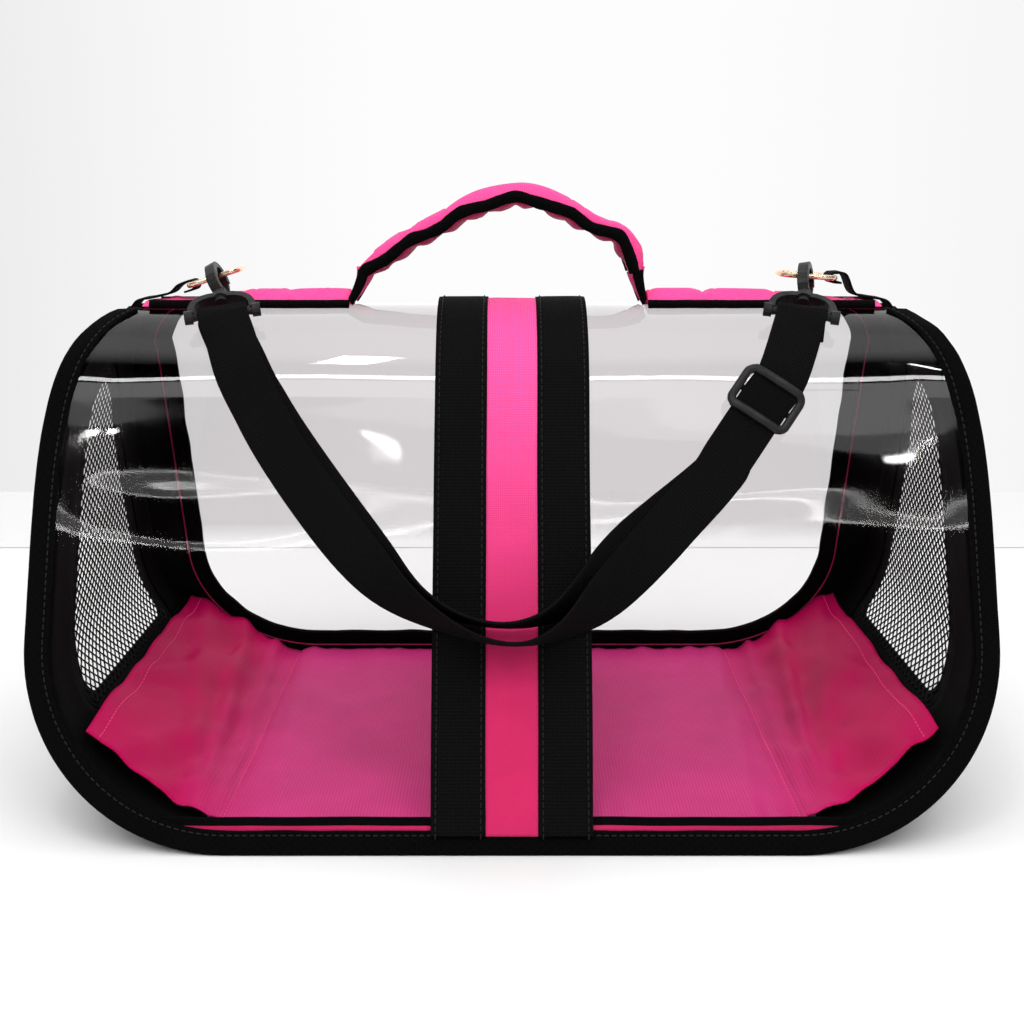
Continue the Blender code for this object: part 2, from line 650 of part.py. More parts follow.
def ring_tab(hand, suffix):
    """Webbing from the end seam, folded round the ring's bar."""
    bar, inwards, up = ring_frame(hand)
    radius, thick, half = RING_WIRE + GAP, 0.0012, 0.0082
    fold = []
    for a in spread(-pi / 2, pi / 2, 8):
        fold.append(inwards * cos(a) + up * sin(a))
    outwards = -inwards
    tail = Vector((hand * (PAD_END + 0.006), 0, 0.2488))
    inner = [bar + outwards * 0.004 - up * radius] + [bar + d * radius for d in fold]
    inner += [bar + outwards * 0.010 + up * (radius - 0.0004), tail + Vector((0, 0, 0.0010))]
    outer = [bar + outwards * 0.004 - up * (radius + thick)] + [bar + d * (radius + thick) for d in fold]
    outer += [bar + outwards * 0.010 + up * (radius + thick - 0.0004), tail + Vector((0, 0, 0.0010 + thick))]
    rings = [[p + Vector((0, -half, 0)), p + Vector((0, half, 0)), q + Vector((0, half, 0)),
              q + Vector((0, -half, 0))] for p, q in zip(inner, outer)]
    sweep("ring_tab_" + suffix, rings, webbing_material())


def hook_frame(hand):
    """Middle of the ring's wire in the hook, and the hook's directions: down its stem, along its bar, out."""
    wire = Vector((hand * HOOK_X, HOOK_Y, HOOK_Z))
    down = Vector((-hand * 0.22, -0.85, -0.53)).normalized()
    bar = (Vector((1, 0, 0)) - down * down.x).normalized()
    return wire, down, bar, down.cross(bar)


def union(target, *others):
    for other in others:
        other.hide_render = True
        other.display_type = "WIRE"
        modifier = target.modifiers.new("Union " + other.name, "BOOLEAN")
        modifier.operation = "UNION"
        modifier.object = other
    return target


def cut(target, cutter):
    cutter.hide_render = True
    cutter.display_type = "WIRE"
    modifier = target.modifiers.new("Cut " + cutter.name, "BOOLEAN")
    modifier.operation = "DIFFERENCE"
    modifier.object = cutter
    return target


def rod(name, start, end, radius, look, sides=14, origin=(0, 0, 0)):
    along = (end - start).normalized()
    across = along.orthogonal().normalized()
    up = along.cross(across)
    return sweep(name, [tube_ring(p, across, up, radius, sides) for p in (start, end)], look, origin=origin)


def bar_along(name, points, across, sections, look, origin=(0, 0, 0)):
    """A bent bar of rectangular section (half width, half depth). across is its wide direction."""
    rings = []
    for i, point in enumerate(points):
        along = (points[min(i + 1, len(points) - 1)] - points[max(i - 1, 0)]).normalized()
        wide, deep = across * sections[0], along.cross(across).normalized() * sections[1]
        rings.append([point + wide + deep, point - wide + deep, point - wide - deep, point + wide - deep])
    return sweep(name, rings, look, origin=origin)


def snap_hook(hand, suffix):
    """J-shaped hook with its stem. Its loop turns about the stem, out of the swivel base's plane."""
    wire, down, bar, out = hook_frame(hand)
    turn = Matrix.Rotation(HOOK_TURN[hand], 3, down)
    open_side, flat = turn @ bar, turn @ out
    top, bottom = LOOP_TOP, LOOP_BOTTOM

    def at(u, v):
        return wire + down * u + open_side * v

    route = [at(bottom + HOOK_LOOP * cos(a), HOOK_LOOP * sin(a)) for a in spread(0.75, 0.0, 3)]
    route += [at(bottom + HOOK_LOOP * cos(a), -HOOK_LOOP * sin(a)) for a in spread(pi / 8, pi / 2, 4)]
    route += [at(top - HOOK_LOOP * sin(a), -HOOK_LOOP * cos(a)) for a in spread(0.0, pi * 0.94, 10)]
    stem_start = wire + down * (bottom + HOOK_LOOP - 0.0005)
    stem_end = wire + down * STEM_END
    plastic = plastic_material()
    hook = bar_along("hook_" + suffix, route, flat, HOOK_HALF, plastic, origin=tuple(wire))
    stem = rod("hook_stem_" + suffix, stem_start, stem_end, STEM_RADIUS, plastic)
    head = rod("hook_head_" + suffix, wire + down * HEAD_START, stem_end + down * 0.0006, HEAD_RADIUS, plastic)
    collar_end = wire + down * COLLAR_END
    collar = rod("hook_collar_" + suffix, stem_start + down * 0.0004, collar_end, COLLAR_RADIUS, plastic)
    union(hook, stem, head, collar)
    pivot = at(bottom + 0.0012, HOOK_LOOP - 0.0004)
    gate = [at(bottom - 0.0006, HOOK_LOOP - 0.0002), at((top + bottom) / 2, HOOK_LOOP)]
    gate.append(at(top + 0.0004, HOOK_LOOP))
    bar_along("hook_gate_" + suffix, gate, flat, GATE_HALF, plastic, origin=tuple(pivot))


def swivel_base(hand, suffix):
    """Arched eye that carries the strap's webbing, with a knob at each end of its bar."""
    wire, down, bar, out = hook_frame(hand)
    plastic = plastic_material()
    crown = wire + down * BASE_CROWN
    eye = wire + down * BAR_DISTANCE
    half = WEBBING / 2 + 0.0030
    arch = []
    for a in spread(0, pi, 13):
        sideways = abs(cos(a)) ** 0.7 * (1 if cos(a) > 0 else -1)
        arch.append(eye + bar * half * sideways - down * (BAR_DISTANCE - BASE_CROWN) * abs(sin(a)) ** 0.8)
    base = bar_along("swivel_base_" + suffix, arch, out, BASE_HALF, plastic, origin=tuple(eye))
    rail = rod("swivel_bar_" + suffix, eye - bar * BASE_RAIL, eye + bar * BASE_RAIL, BAR_RADIUS, plastic)
    boss_start, boss_end = crown - down * 0.0017, crown + down * 0.0016
    boss = rod("swivel_boss_" + suffix, boss_start, boss_end, BOSS_RADIUS, plastic)
    knobs = []
    for i, sign in enumerate((-1, 1)):
        start, end = eye + bar * sign * KNOB_FROM, eye + bar * sign * KNOB_TO
        knobs.append(rod(f"swivel_knob_{i}_{suffix}", start, end, KNOB_RADIUS, plastic))
    union(base, rail, boss, *knobs)
    cut(base, rod("swivel_hole_" + suffix, crown - down * 0.006, crown + down * 0.006, BASE_HOLE,
                  plastic_material(), sides=20))


# Shoulder strap. Each route point is (x, z, distance from the film, elevation of the webbing's face).
LEFT_OUTER = ((-0.1388, 0.2245, 0.0105, 38), (-0.1325, 0.2110, 0.0090, 27), (-0.1191, 0.1862, 0.0080, 22.7),
              (-0.1052, 0.1667, 0.0085, 22.7), (-0.0865, 0.1444, 0.0105, 14), (-0.0714, 0.1250, 0.0130, -5),
              (-0.0560, 0.1115, 0.0165, -32), (-0.0338, 0.0972, 0.0192, -58))
CENTRE_LOWER = ((-0.0094, 0.0893, 0.0196, -72), (0.0037, 0.0885, 0.0196, -74), (0.0183, 0.0915, 0.0194, -66),
                (0.0339, 0.1010, 0.0180, -40), (0.0512, 0.1160, 0.0150, -8), (0.0690, 0.1350, 0.0135, 14))
ADJUSTER_X, ADJUSTER_Z, ADJUSTER_OFF = 0.1236, 0.2000, 0.0118
STRAIGHT_LOW, STRAIGHT_HIGH = 0.062, 0.016   # length of the straight stretch below and above the adjuster
LEFT_INNER = ((-0.1345, 0.2190, 0.0045, 34), (-0.1240, 0.2010, 0.0042, 22.7), (-0.1115, 0.1830, 0.0042, 22.7),
              (-0.0943, 0.1616, 0.0048, 20), (-0.0769, 0.1390, 0.0080, 8), (-0.0620, 0.1225, 0.0118, -20),
              (-0.0440, 0.1085, 0.0172, -50), (-0.0240, 0.0995, 0.0190, -68))
CENTRE_UPPER = ((-0.0033, 0.0960, 0.0194, -74), (0.0130, 0.0985, 0.0190, -66), (0.0290, 0.1075, 0.0168, -40),
                (0.0450, 0.1205, 0.0118, -8), (0.0610, 0.1365, 0.0085, 14))


def off_slope(x, z, off):
    """A point in front of the film, with the leaning side taken as a plane above its end too."""
    s = s_at_height(z)
    return on_sheet(x, s, off)


def strap_direction():
    return Vector((0.559, 0.829 * sin(LEAN), 0.829 * cos(LEAN))).normalized()


def adjuster_centre():
    slope_y = -(half_height_line(ADJUSTER_Z) + ADJUSTER_OFF * cos(LEAN))
    return Vector((ADJUSTER_X, slope_y, ADJUSTER_Z + ADJUSTER_OFF * sin(LEAN)))


def facing(elevation):
    angle = radians(elevation)
    return Vector((0, -cos(angle), sin(angle)))


def route_points(route):
    return [(off_slope(x, z, off), facing(turn)) for x, z, off, turn in route]


def straight_points(low, high, count, shift):
    centre, along, normal = adjuster_centre(), strap_direction(), facing(degrees(LEAN))
    return [(centre + along * t + normal * shift, normal) for t in spread(low, high, count)]


def wrap_points(hand, reverse=False):
    """Round the bar of a swivel base, from the webbing's inner side over to its outer side."""
    wire, down, bar, out = hook_frame(hand)
    eye = wire + down * BAR_DISTANCE
    radius = BAR_RADIUS + GAP + WEBBING_THICK / 2 + 0.0002
    points = []
    for a in spread(0, pi, 9):
        spoke = -out * cos(a) - down * sin(a)
        points.append((eye + spoke * radius, spoke))
    points = [(eye - out * radius + down * 0.006, -out)] + points + [(eye + out * radius + down * 0.006, out)]
    return points[::-1] if reverse else points


def webbing_solid(name, stations, look, half=WEBBING / 2, thick=WEBBING_THICK, origin=(0, 0, 0)):
    """Flat webbing through (point, face direction) stations, resampled on a smooth curve."""
    rings = []
    for i, (point, face) in enumerate(stations):
        before, after = stations[max(i - 1, 0)][0], stations[min(i + 1, len(stations) - 1)][0]
        along = (after - before).normalized()
        normal = (face - along * face.dot(along)).normalized()
        across = along.cross(normal)
        rings.append([point + across * half + normal * thick / 2, point - across * half + normal * thick / 2,
                      point - across * half - normal * thick / 2, point + across * half - normal * thick / 2])
    return sweep(name, rings, look, origin=origin)


def smooth_stations(stations, steps=3):
    """Stations with others between them, on a Catmull-Rom curve."""
    result = []
    for i in range(len(stations) - 1):
        p0, p1 = stations[max(i - 1, 0)][0], stations[i][0]
        p2, p3 = stations[i + 1][0], stations[min(i + 2, len(stations) - 1)][0]
        for step in range(steps):
            t = step / steps
            point = 0.5 * (2 * p1 + (p2 - p0) * t + (2 * p0 - 5 * p1 + 4 * p2 - p3) * t**2
                           + (3 * p1 - p0 - 3 * p2 + p3) * t**3)
            result.append((point, stations[i][1].lerp(stations[i + 1][1], t).normalized()))
    return result + [stations[-1]]


def shoulder_strap():
    """One webbing: from under the right strand, round the left base, and on to the right base."""
    def turned(stations):
        return [(point, -face) for point, face in stations]

    inner_left = turned(route_points(LEFT_INNER))[::-1]
    upper = turned(route_points(CENTRE_UPPER))[::-1]
    lower = route_points(LEFT_OUTER) + route_points(CENTRE_LOWER)
    running = straight_points(-STRAIGHT_LOW + 0.012, STRAIGHT_HIGH, 5, 0.0)
    up_to_left = smooth_stations(upper[1:] + inner_left + [wrap_points(-1)[0]], 2)
    down_from_left = smooth_stations([wrap_points(-1)[-1]] + lower + running, 2)
    right_wrap = turned_right_wrap()
    last = smooth_stations([running[-1], right_wrap[0]], 3)[1:-1]
    stations = up_to_left[:-1] + wrap_points(-1) + down_from_left[1:] + last + right_wrap
    webbing_solid("strap_webbing", stations, webbing_material(), origin=(0, HOOK_Y, HOOK_Z))
    tail = [upper[1]] + [upper[0]] + turned(straight_points(-STRAIGHT_LOW + 0.016, -0.0190, 3, -0.0048))
    start = tail[0][0].lerp(tail[1][0], 0.10)
    tail[0] = (start, tail[0][1])
    webbing_solid("strap_tail", smooth_stations(tail, 2), webbing_material(), origin=(0, HOOK_Y, HOOK_Z))


def turned_right_wrap():
    """Round the right base's bar from the outer side to the inner side, ending in a short sewn lap."""
    wire, down, bar, out = hook_frame(1)
    points = wrap_points(1, reverse=True)
    end, face = points[-1]
    return points + [(end + down * 0.010, face)]


def adjuster():
    """Three-bar slide: the webbing runs behind the outer bars and in front of the middle one."""
    centre, along, normal = adjuster_centre(), strap_direction(), facing(degrees(LEAN))
    across = along.cross(normal)
    frame = Matrix((across, along, normal)).transposed()

    def block(name, low, high, look):
        made = box(name, low, high, look)
        made.data.transform(frame.to_4x4())
        made.data.update()
        made.location = centre
        if made.data.polygons and frame.determinant() < 0:
            made.data.flip_normals()
        return made

    plastic = plastic_material()
    half, rail, length = SLIDE_HALF, SLIDE_RAIL, SLIDE_LENGTH
    low, front, back = SLIDE_FRONT_LOW, SLIDE_FRONT, SLIDE_BACK
    frame_rail = block("strap_adjuster", (-rail, -length, back), (-half, length, front), plastic)
    other_rail = block("adjuster_rail", (half, -length, back), (rail, length, front), plastic)
    reach, inner, top = rail - 0.0005, length - 0.0003, front - GAP
    bars = [
        block("adjuster_bar_low", (-reach, -inner, low), (reach, -SLIDE_BAR, top), plastic),
        block("adjuster_bar_high", (-reach, SLIDE_BAR, low), (reach, inner, top), plastic),
        block("adjuster_bar_middle", (-reach, -SLIDE_MIDDLE_BAR, back + GAP),
              (reach, SLIDE_MIDDLE_BAR, back + 0.0020), plastic),
    ]
    union(frame_rail, other_rail, *bars)
    keeper(centre, along, normal)


def keeper(centre, along, normal):
    """The strap's sewn end round the adjuster's middle bar."""
    thick = KEEPER_THICK
    near, far = -SLIDE_FRONT_LOW - thick / 2, SLIDE_BACK - GAP - thick / 2
    path = [(-KEEPER_LAP, near), (-0.0080, near), (0.0006, near), (0.0030, (near * 3 + far) / 4)]
    path += [(0.0036, (near + far) / 2), (0.0030, (near + far * 3) / 4), (0.0006, far)]
    path += [(-0.0080, far), (-KEEPER_LAP, far)]
    facings = [(0, 1), (0, 1), (0, 1), (0.7, 0.7), (1, 0), (0.7, -0.7), (0, -1), (0, -1), (0, -1)]
    stations = [(centre + along * d + normal * n, (along * u + normal * v).normalized())
                for (d, n), (u, v) in zip(path, facings)]
    webbing_solid("strap_keeper", stations, webbing_material(), half=WEBBING / 2, thick=thick, origin=centre)


# Zip sliders

def slider_place(hand):
    """A point on the front leg of the zip, with directions up the leg, out of the panel and across."""
    inset = ZIP_INSET / cos(LEAN)

    def on_zip(z):
        return gusset(z, -(half_height_line(z) - inset))

    here = on_zip(SLIDER_Z)
    up = (on_zip(SLIDER_Z + 0.002) - here).normalized()
    side = gusset(SLIDER_Z, 0.0, 1.0) - gusset(SLIDER_Z, 0.0, 0.0)
    out = (side - up * side.dot(up)).normalized()
    across = up.cross(out)

    def flip(v):
        return Vector((v.x * hand, v.y, v.z))

    return flip(here), flip(up), flip(out), flip(across)


def block_on(name, centre, axes, low, high, look, origin):
    corners = []
    for u in (low[0], high[0]):
        ring = []
        for v, w in ((low[1], low[2]), (high[1], low[2]), (high[1], high[2]), (low[1], high[2])):
            ring.append(centre + axes[0] * u + axes[1] * v + axes[2] * w)
        corners.append(ring)
    return sweep(name, corners, look, origin=tuple(origin))


def zip_slider(hand, suffix):
    here, up, out, across = slider_place(hand)
    axes = (up, across, out)
    metal = metal_material()
    low_out = FABRIC / 2 + GAP
    length, half = SLIDER_HALF
    low, high = (-length, -half, low_out), (length, half, low_out + SLIDER_THICK)
    body = block_on("zip_slider_" + suffix, here, axes, low, high, metal, here)
    ears = []
    for i, v in enumerate((-0.0026, 0.0016)):
        low, high = (-0.0030, v, low_out + 0.0010), (0.0010, v + 0.0010, low_out + EAR_HEIGHT)
        ears.append(block_on(f"slider_ear_{i}_{suffix}", here, axes, low, high, metal, here))
    pin_at = here - up * PIN_DOWN + out * (low_out + PIN_HEIGHT)
    pin = rod("slider_pin_" + suffix, pin_at - across * 0.0022, pin_at + across * 0.0022, PIN_RADIUS, metal, 8)
    union(body, *ears, pin)
    half, depth = PULL_HALF
    low, high = (-PULL_LENGTH, -half, -depth), (PULL_TOP, half, depth)
    pull = block_on("zip_pull_" + suffix, pin_at, axes, low, high, metal, pin_at)
    slot = rod("pull_hole_" + suffix, pin_at - across * 0.004, pin_at + across * 0.004, PIN_HOLE, metal, 10)
    cut(pull, slot)


def main():
    clear_scene()
    front_film()
    rear_window()
    seam_bindings()
    front_hem()
    base_layers()
    floor_mat()
    centre_band()
    ridge_strips()
    handle()
    for hand, suffix in ((-1, "left"), (1, "right")):
        end_solids(hand, suffix)
        zip_slider(hand, suffix)
        d_ring(hand, suffix)
        ring_tab(hand, suffix)
        snap_hook(hand, suffix)
        swivel_base(hand, suffix)
    shoulder_strap()
    adjuster()


main()
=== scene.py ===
"""Looks of the pet carrier bag: clear film, sewn fabric, webbing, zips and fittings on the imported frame.

Metres, +Z up, -Y is the front. A sheet of the cabin is laid out in (x, s), where s runs along the
cabin's cross-section from the ground over the ridge. Every sheet that is built here carries the
attribute "flat", its own place on the cloth in metres, which the weaves read.
"""

from math import asin, cos, degrees, pi, radians, sin, sqrt

import bpy
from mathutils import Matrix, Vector, noise


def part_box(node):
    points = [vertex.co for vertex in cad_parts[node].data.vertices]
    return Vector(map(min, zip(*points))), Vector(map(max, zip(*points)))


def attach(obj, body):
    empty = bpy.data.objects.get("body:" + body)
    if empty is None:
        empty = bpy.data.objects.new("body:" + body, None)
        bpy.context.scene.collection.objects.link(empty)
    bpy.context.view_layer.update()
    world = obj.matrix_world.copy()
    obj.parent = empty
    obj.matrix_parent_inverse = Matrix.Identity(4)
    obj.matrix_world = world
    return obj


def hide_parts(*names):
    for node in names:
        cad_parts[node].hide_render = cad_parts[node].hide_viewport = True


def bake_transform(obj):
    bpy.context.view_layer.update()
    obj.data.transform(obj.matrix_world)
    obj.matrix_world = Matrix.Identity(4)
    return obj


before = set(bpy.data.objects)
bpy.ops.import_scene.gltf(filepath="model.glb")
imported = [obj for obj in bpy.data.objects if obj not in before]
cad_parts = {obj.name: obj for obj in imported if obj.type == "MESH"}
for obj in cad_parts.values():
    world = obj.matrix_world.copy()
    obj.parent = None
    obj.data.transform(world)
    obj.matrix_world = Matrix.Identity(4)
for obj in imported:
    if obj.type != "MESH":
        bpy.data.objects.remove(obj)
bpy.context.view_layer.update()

# The cabin's driving dimensions, as in the part
HALF_DEPTH, LEAN, RIDGE_RADIUS, RIDGE_CENTRE_Z = 0.145, radians(22.7), 0.0635, 0.1815
HALF_LENGTH, CORNER_RADIUS = 0.234, 0.100
BARREL_START, BARREL_DROP, BARREL_POWER = 0.130, 0.344, 3.4
FLANGE, RIM_BOTTOM, TAPE_FROM, TAPE_TO = 0.0115, 0.0098, 0.0136, 0.0178
FILM, FABRIC, WEBBING, WEBBING_THICK, BAND_PINK = 0.0006, 0.0012, 0.025, 0.0016, 0.026
FILM_OVER_RIDGE, BINDING_STOP = 0.012, 0.018
WINDOW_HALF, WINDOW_RADIUS, WINDOW_FROM, WINDOW_TOP_BORDER = 0.196, 0.070, 0.0217, 0.016
MAT_FOLD_X, MAT_FOLD_Z, MAT_FLAP_X, MAT_FLAP_Z = 0.152, 0.0158, 0.2035, 0.052
BASE_TOP, DOOR_BOTTOM, ZIP_INSET, ZIP_HALF = 0.0102, 0.046, 0.034, 0.0030
MAT_MARGIN, PANEL_RIM, CLEAR, LAMP_DISTANCE = 0.0050, 0.0024, 0.0003, 2.0
PAD_END, FOOT_LEFT, FOOT_RIGHT, PAD_HALF_WIDTH = 0.192, -0.0885, 0.0735, 0.0135
HANDLE_WIDTH, HANDLE_THICK = 0.027, 0.0115
HOOK_X, HOOK_Y, HOOK_Z = 0.1525, -0.012, 0.2605
BAR_DISTANCE, BAR_RADIUS = 0.033, 0.00225
SLOPE_LENGTH = (RIDGE_CENTRE_Z + RIDGE_RADIUS * sin(LEAN)) / cos(LEAN)
CREST = SLOPE_LENGTH + RIDGE_RADIUS * (pi / 2 - LEAN)
CORNER_X = HALF_LENGTH - CORNER_RADIUS
CAMERA_AT, CAMERA_DOWN = Vector((0.0, -0.788, 0.304)), radians(12.25)
CAMERA_LENS = 52.1
STRIP_FROM, FLOOR_END = 0.465, 0.709
FOOT_POINTS, CORNER_POINTS, SIDE_POINTS = 24, 30, 40
SIDES = ((-1, "left"), (1, "right"))


# Node trees

def add(tree, kind, inputs=None, **settings):
    node = tree.nodes.new(kind)
    for key, value in settings.items():
        setattr(node, key, value)
    for key, value in (inputs or {}).items():
        socket = node.inputs[key]
        if isinstance(value, bpy.types.NodeSocket):
            tree.links.new(value, socket)
        else:
            socket.default_value = value
    return node


def maths(tree, operation, a, b=0.0, c=0.0):
    inputs = {0: a, 1: b}
    if operation == "MULTIPLY_ADD":
        inputs[2] = c
    return add(tree, "ShaderNodeMath", inputs, operation=operation).outputs[0]


def mixed(tree, share, a, b):
    return add(tree, "ShaderNodeMix", {0: share, 6: a, 7: b}, data_type="RGBA").outputs[2]


def cloud(tree, place, scale, detail=2.0):
    return add(tree, "ShaderNodeTexNoise", {"Vector": place, "Scale": scale, "Detail": detail}).outputs["Fac"]


def stretched(tree, value, low, high, to_low=0.0, to_high=1.0):
    return add(tree, "ShaderNodeMapRange", {0: value, 1: low, 2: high, 3: to_low, 4: to_high}).outputs[0]


def new_material(name):
    """A material, its empty node tree and the place on the object that its patterns read."""
    made = bpy.data.materials.new(name)
    made.use_nodes = True
    tree = made.node_tree
    tree.nodes.clear()
    return made, tree, add(tree, "ShaderNodeTexCoord").outputs["Object"]


def surface(tree, shader):
    add(tree, "ShaderNodeOutputMaterial", {"Surface": shader})


def principled(tree, colour, rough, height, depth, others=None):
    """The shader of a solid material, with its grain as a bump of that depth."""
    bump = add(tree, "ShaderNodeBump", {"Height": height, "Distance": depth, "Strength": 1.0})
    shader = add(tree, "ShaderNodeBsdfPrincipled", {"Base Color": colour, "Roughness": rough,
                                                    "Normal": bump.outputs[0], **(others or {})})
    surface(tree, shader.outputs[0])


def arch(tree, value, pitch):
    """Rounded threads side by side: 0 in the grooves, 1 on the crowns."""
    return maths(tree, "ABSOLUTE", maths(tree, "SINE", maths(tree, "MULTIPLY", value, pi / pitch)))


def plain_weave(tree, u, v, pitch):
    """Warp and weft crossing in turn."""
    warp, weft = arch(tree, v, pitch[1]), arch(tree, u, pitch[0])
    column = maths(tree, "FLOOR", maths(tree, "DIVIDE", v, pitch[1]))
    row = maths(tree, "FLOOR", maths(tree, "DIVIDE", u, pitch[0]))
    turn = maths(tree, "FRACT", maths(tree, "MULTIPLY", maths(tree, "ADD", column, row), 0.5))
    over = maths(tree, "GREATER_THAN", turn, 0.25)
    return add(tree, "ShaderNodeMix", {0: over, 2: warp, 3: weft}, data_type="FLOAT").outputs[0]


def ribbed(tree, u, v, pitch):
    """Fat ribs across the tape, with fine threads along it."""
    ribs = maths(tree, "POWER", arch(tree, u, pitch[0]), 0.7)
    threads = stretched(tree, arch(tree, v, pitch[1]), 0.0, 1.0, 0.6, 1.0)
    return maths(tree, "MULTIPLY", ribs, threads)


def block_weave(tree, u, v, pitch):
    """A tape's blocks of floats: groups of ribs that change places every few threads."""
    block = maths(tree, "ADD", maths(tree, "FLOOR", maths(tree, "DIVIDE", u, pitch[0] * 2)),
                  maths(tree, "FLOOR", maths(tree, "DIVIDE", v, pitch[1] * 2)))
    turn = maths(tree, "GREATER_THAN", maths(tree, "FRACT", maths(tree, "MULTIPLY", block, 0.5)), 0.25)
    ribs = maths(tree, "POWER", arch(tree, u, pitch[0]), 0.7)
    threads = stretched(tree, arch(tree, v, pitch[1]), 0.0, 1.0, 0.45, 1.0)
    raised = stretched(tree, turn, 0.0, 1.0, 0.72, 1.0)
    return maths(tree, "MULTIPLY", maths(tree, "MULTIPLY", ribs, threads), raised)


def satin_face(tree, u, v, pitch):
    """Long floats along the cloth, with a faint cross thread."""
    floats = maths(tree, "MULTIPLY", arch(tree, v, pitch[1]), 0.7)
    return maths(tree, "MULTIPLY_ADD", arch(tree, u, pitch[0]), 0.3, floats)


def cloth_material(name, dark, light, pattern, pitch, depth, roughness=0.85, sheen=0.3, sheen_tint=None,
                   specular=0.3, blotch=0.14, flat=True, fuzz=0.3, middle=None, low=None):
    """A woven cloth. dark and light are the colours in its grooves and on its threads; the darker grooves are painted
    shade.

    middle is a paler colour of the threads between the folds, a painted sheen, and low a deeper one towards the floor,
    painted shade.
    """
    made, tree, where = new_material(name)
    place = add(tree, "ShaderNodeAttribute", attribute_name="flat").outputs["Vector"] if flat else where
    split = add(tree, "ShaderNodeSeparateXYZ", {0: place}).outputs
    u, v = (split[0], split[1]) if flat else (split[0], maths(tree, "ADD", split[1], split[2]))
    threads = pattern(tree, u, v, pitch)
    fluff = cloud(tree, where, 2600.0, 3.0)
    height = maths(tree, "MULTIPLY_ADD", fluff, fuzz, maths(tree, "MULTIPLY", threads, 1.0 - fuzz))
    patches = stretched(tree, cloud(tree, where, 34.0, 4.0), 0.3, 0.7, 1.0 - blotch, 1.0)
    crowns = stretched(tree, height, 0.15, 0.85)
    # Darker in the grooves between the threads: painted shade.
    colour_with_painted_light = mixed(tree, crowns, (*dark, 1), (*light, 1))
    at = add(tree, "ShaderNodeSeparateXYZ", {0: where}).outputs
    # Paler threads between the mat's folds: a painted sheen.
    if middle:
        inside = stretched(tree, maths(tree, "ABSOLUTE", at[0]), MAT_FOLD_X + 0.012, MAT_FOLD_X - 0.028)
        colour_with_painted_light = mixed(tree, inside, colour_with_painted_light, mixed(tree, crowns, (*dark, 1), (*middle, 1)))
    # Deeper towards the floor: painted shade.
    if low:
        painted_shade_near_floor = stretched(tree, at[2], 0.205, 0.090)
        colour_with_painted_light = mixed(tree, painted_shade_near_floor, colour_with_painted_light, (*low, 1))
    tinted = add(tree, "ShaderNodeMix", {0: 1.0, 6: colour_with_painted_light, 7: patches}, data_type="RGBA", blend_type="MULTIPLY")
    rough = stretched(tree, height, 0.0, 1.0, min(roughness + 0.1, 1.0), roughness)
    principled(tree, tinted.outputs[2], rough, height, depth, {
        "Sheen Weight": sheen, "Sheen Roughness": 0.4, "Sheen Tint": (*(sheen_tint or light), 1),
        "Specular IOR Level": specular})
    return made


def film_material(name, hazy, haze_from, haze_to):
    """Clear soft PVC: see-through, glossy, with shallow ripples, and greyer above a height."""
    made, tree, where = new_material(name)
    ripple = cloud(tree, where, 14.0, 1.0)
    scuffs = cloud(tree, where, 60.0, 4.0)
    bump = add(tree, "ShaderNodeBump", {"Height": ripple, "Distance": 0.00012, "Strength": 1.0})
    rough = stretched(tree, scuffs, 0.35, 0.8, 0.030, 0.055)
    gloss = add(tree, "ShaderNodeBsdfAnisotropic", {"Color": (1, 1, 1, 1), "Roughness": rough,
                                                    "Normal": bump.outputs[0]})
    height = add(tree, "ShaderNodeSeparateXYZ", {0: where}).outputs[2]
    haze = stretched(tree, height, haze_from, haze_to)
    clear = add(tree, "ShaderNodeBsdfTransparent", {"Color": mixed(tree, haze, (0.985, 0.985, 0.985, 1), hazy)})
    facing_away = add(tree, "ShaderNodeLayerWeight", {"Blend": 0.5, "Normal": bump.outputs[0]}).outputs["Facing"]
    mirror = maths(tree, "MULTIPLY_ADD", maths(tree, "POWER", facing_away, 5.0), 0.955, 0.045)
    shader = add(tree, "ShaderNodeMixShader", {0: mirror, 1: clear.outputs[0], 2: gloss.outputs[0]})
    surface(tree, shader.outputs[0])
    return made


def moulded_material(name, dark, light, roughness):
    """Moulded plastic: a fine spark-eroded grain, with polished wear."""
    made, tree, where = new_material(name)
    grain = cloud(tree, where, 1900.0, 3.0)
    wear = cloud(tree, where, 160.0, 3.0)
    colour = mixed(tree, stretched(tree, wear, 0.35, 0.7), (*dark, 1), (*light, 1))
    rough = stretched(tree, wear, 0.3, 0.7, roughness + 0.12, roughness - 0.08)
    principled(tree, colour, rough, grain, 0.00008, {"Specular IOR Level": 0.22})
    return made


def metal_material(name, dark, light, roughness, metallic=1.0):
    """Plated metal with fine scratches and a duller film in places."""
    made, tree, where = new_material(name)
    scratches = cloud(tree, where, 900.0, 4.0)
    film = cloud(tree, where, 120.0, 3.0)
    colour = mixed(tree, stretched(tree, film, 0.3, 0.7), (*light, 1), (*dark, 1))
    rough = stretched(tree, scratches, 0.3, 0.7, roughness - 0.06, roughness + 0.12)
    principled(tree, colour, rough, scratches, 0.000006, {"Metallic": metallic})
    return made


def board_material(name, dark, light, scale, depth):
    """Pressed board or foam: cells of two tones."""
    made, tree, where = new_material(name)
    cells = cloud(tree, where, scale, 5.0)
    colour = mixed(tree, stretched(tree, cells, 0.3, 0.7), (*dark, 1), (*light, 1))
    principled(tree, colour, stretched(tree, cells, 0.3, 0.7, 0.9, 0.7), cells, depth)
    return made


PINK_DARK, PINK_LIGHT = (0.62, 0.015, 0.13), (0.95, 0.085, 0.32)
BLACK_DARK, BLACK_LIGHT = (0.0003, 0.0003, 0.0003), (0.0028, 0.0027, 0.0026)

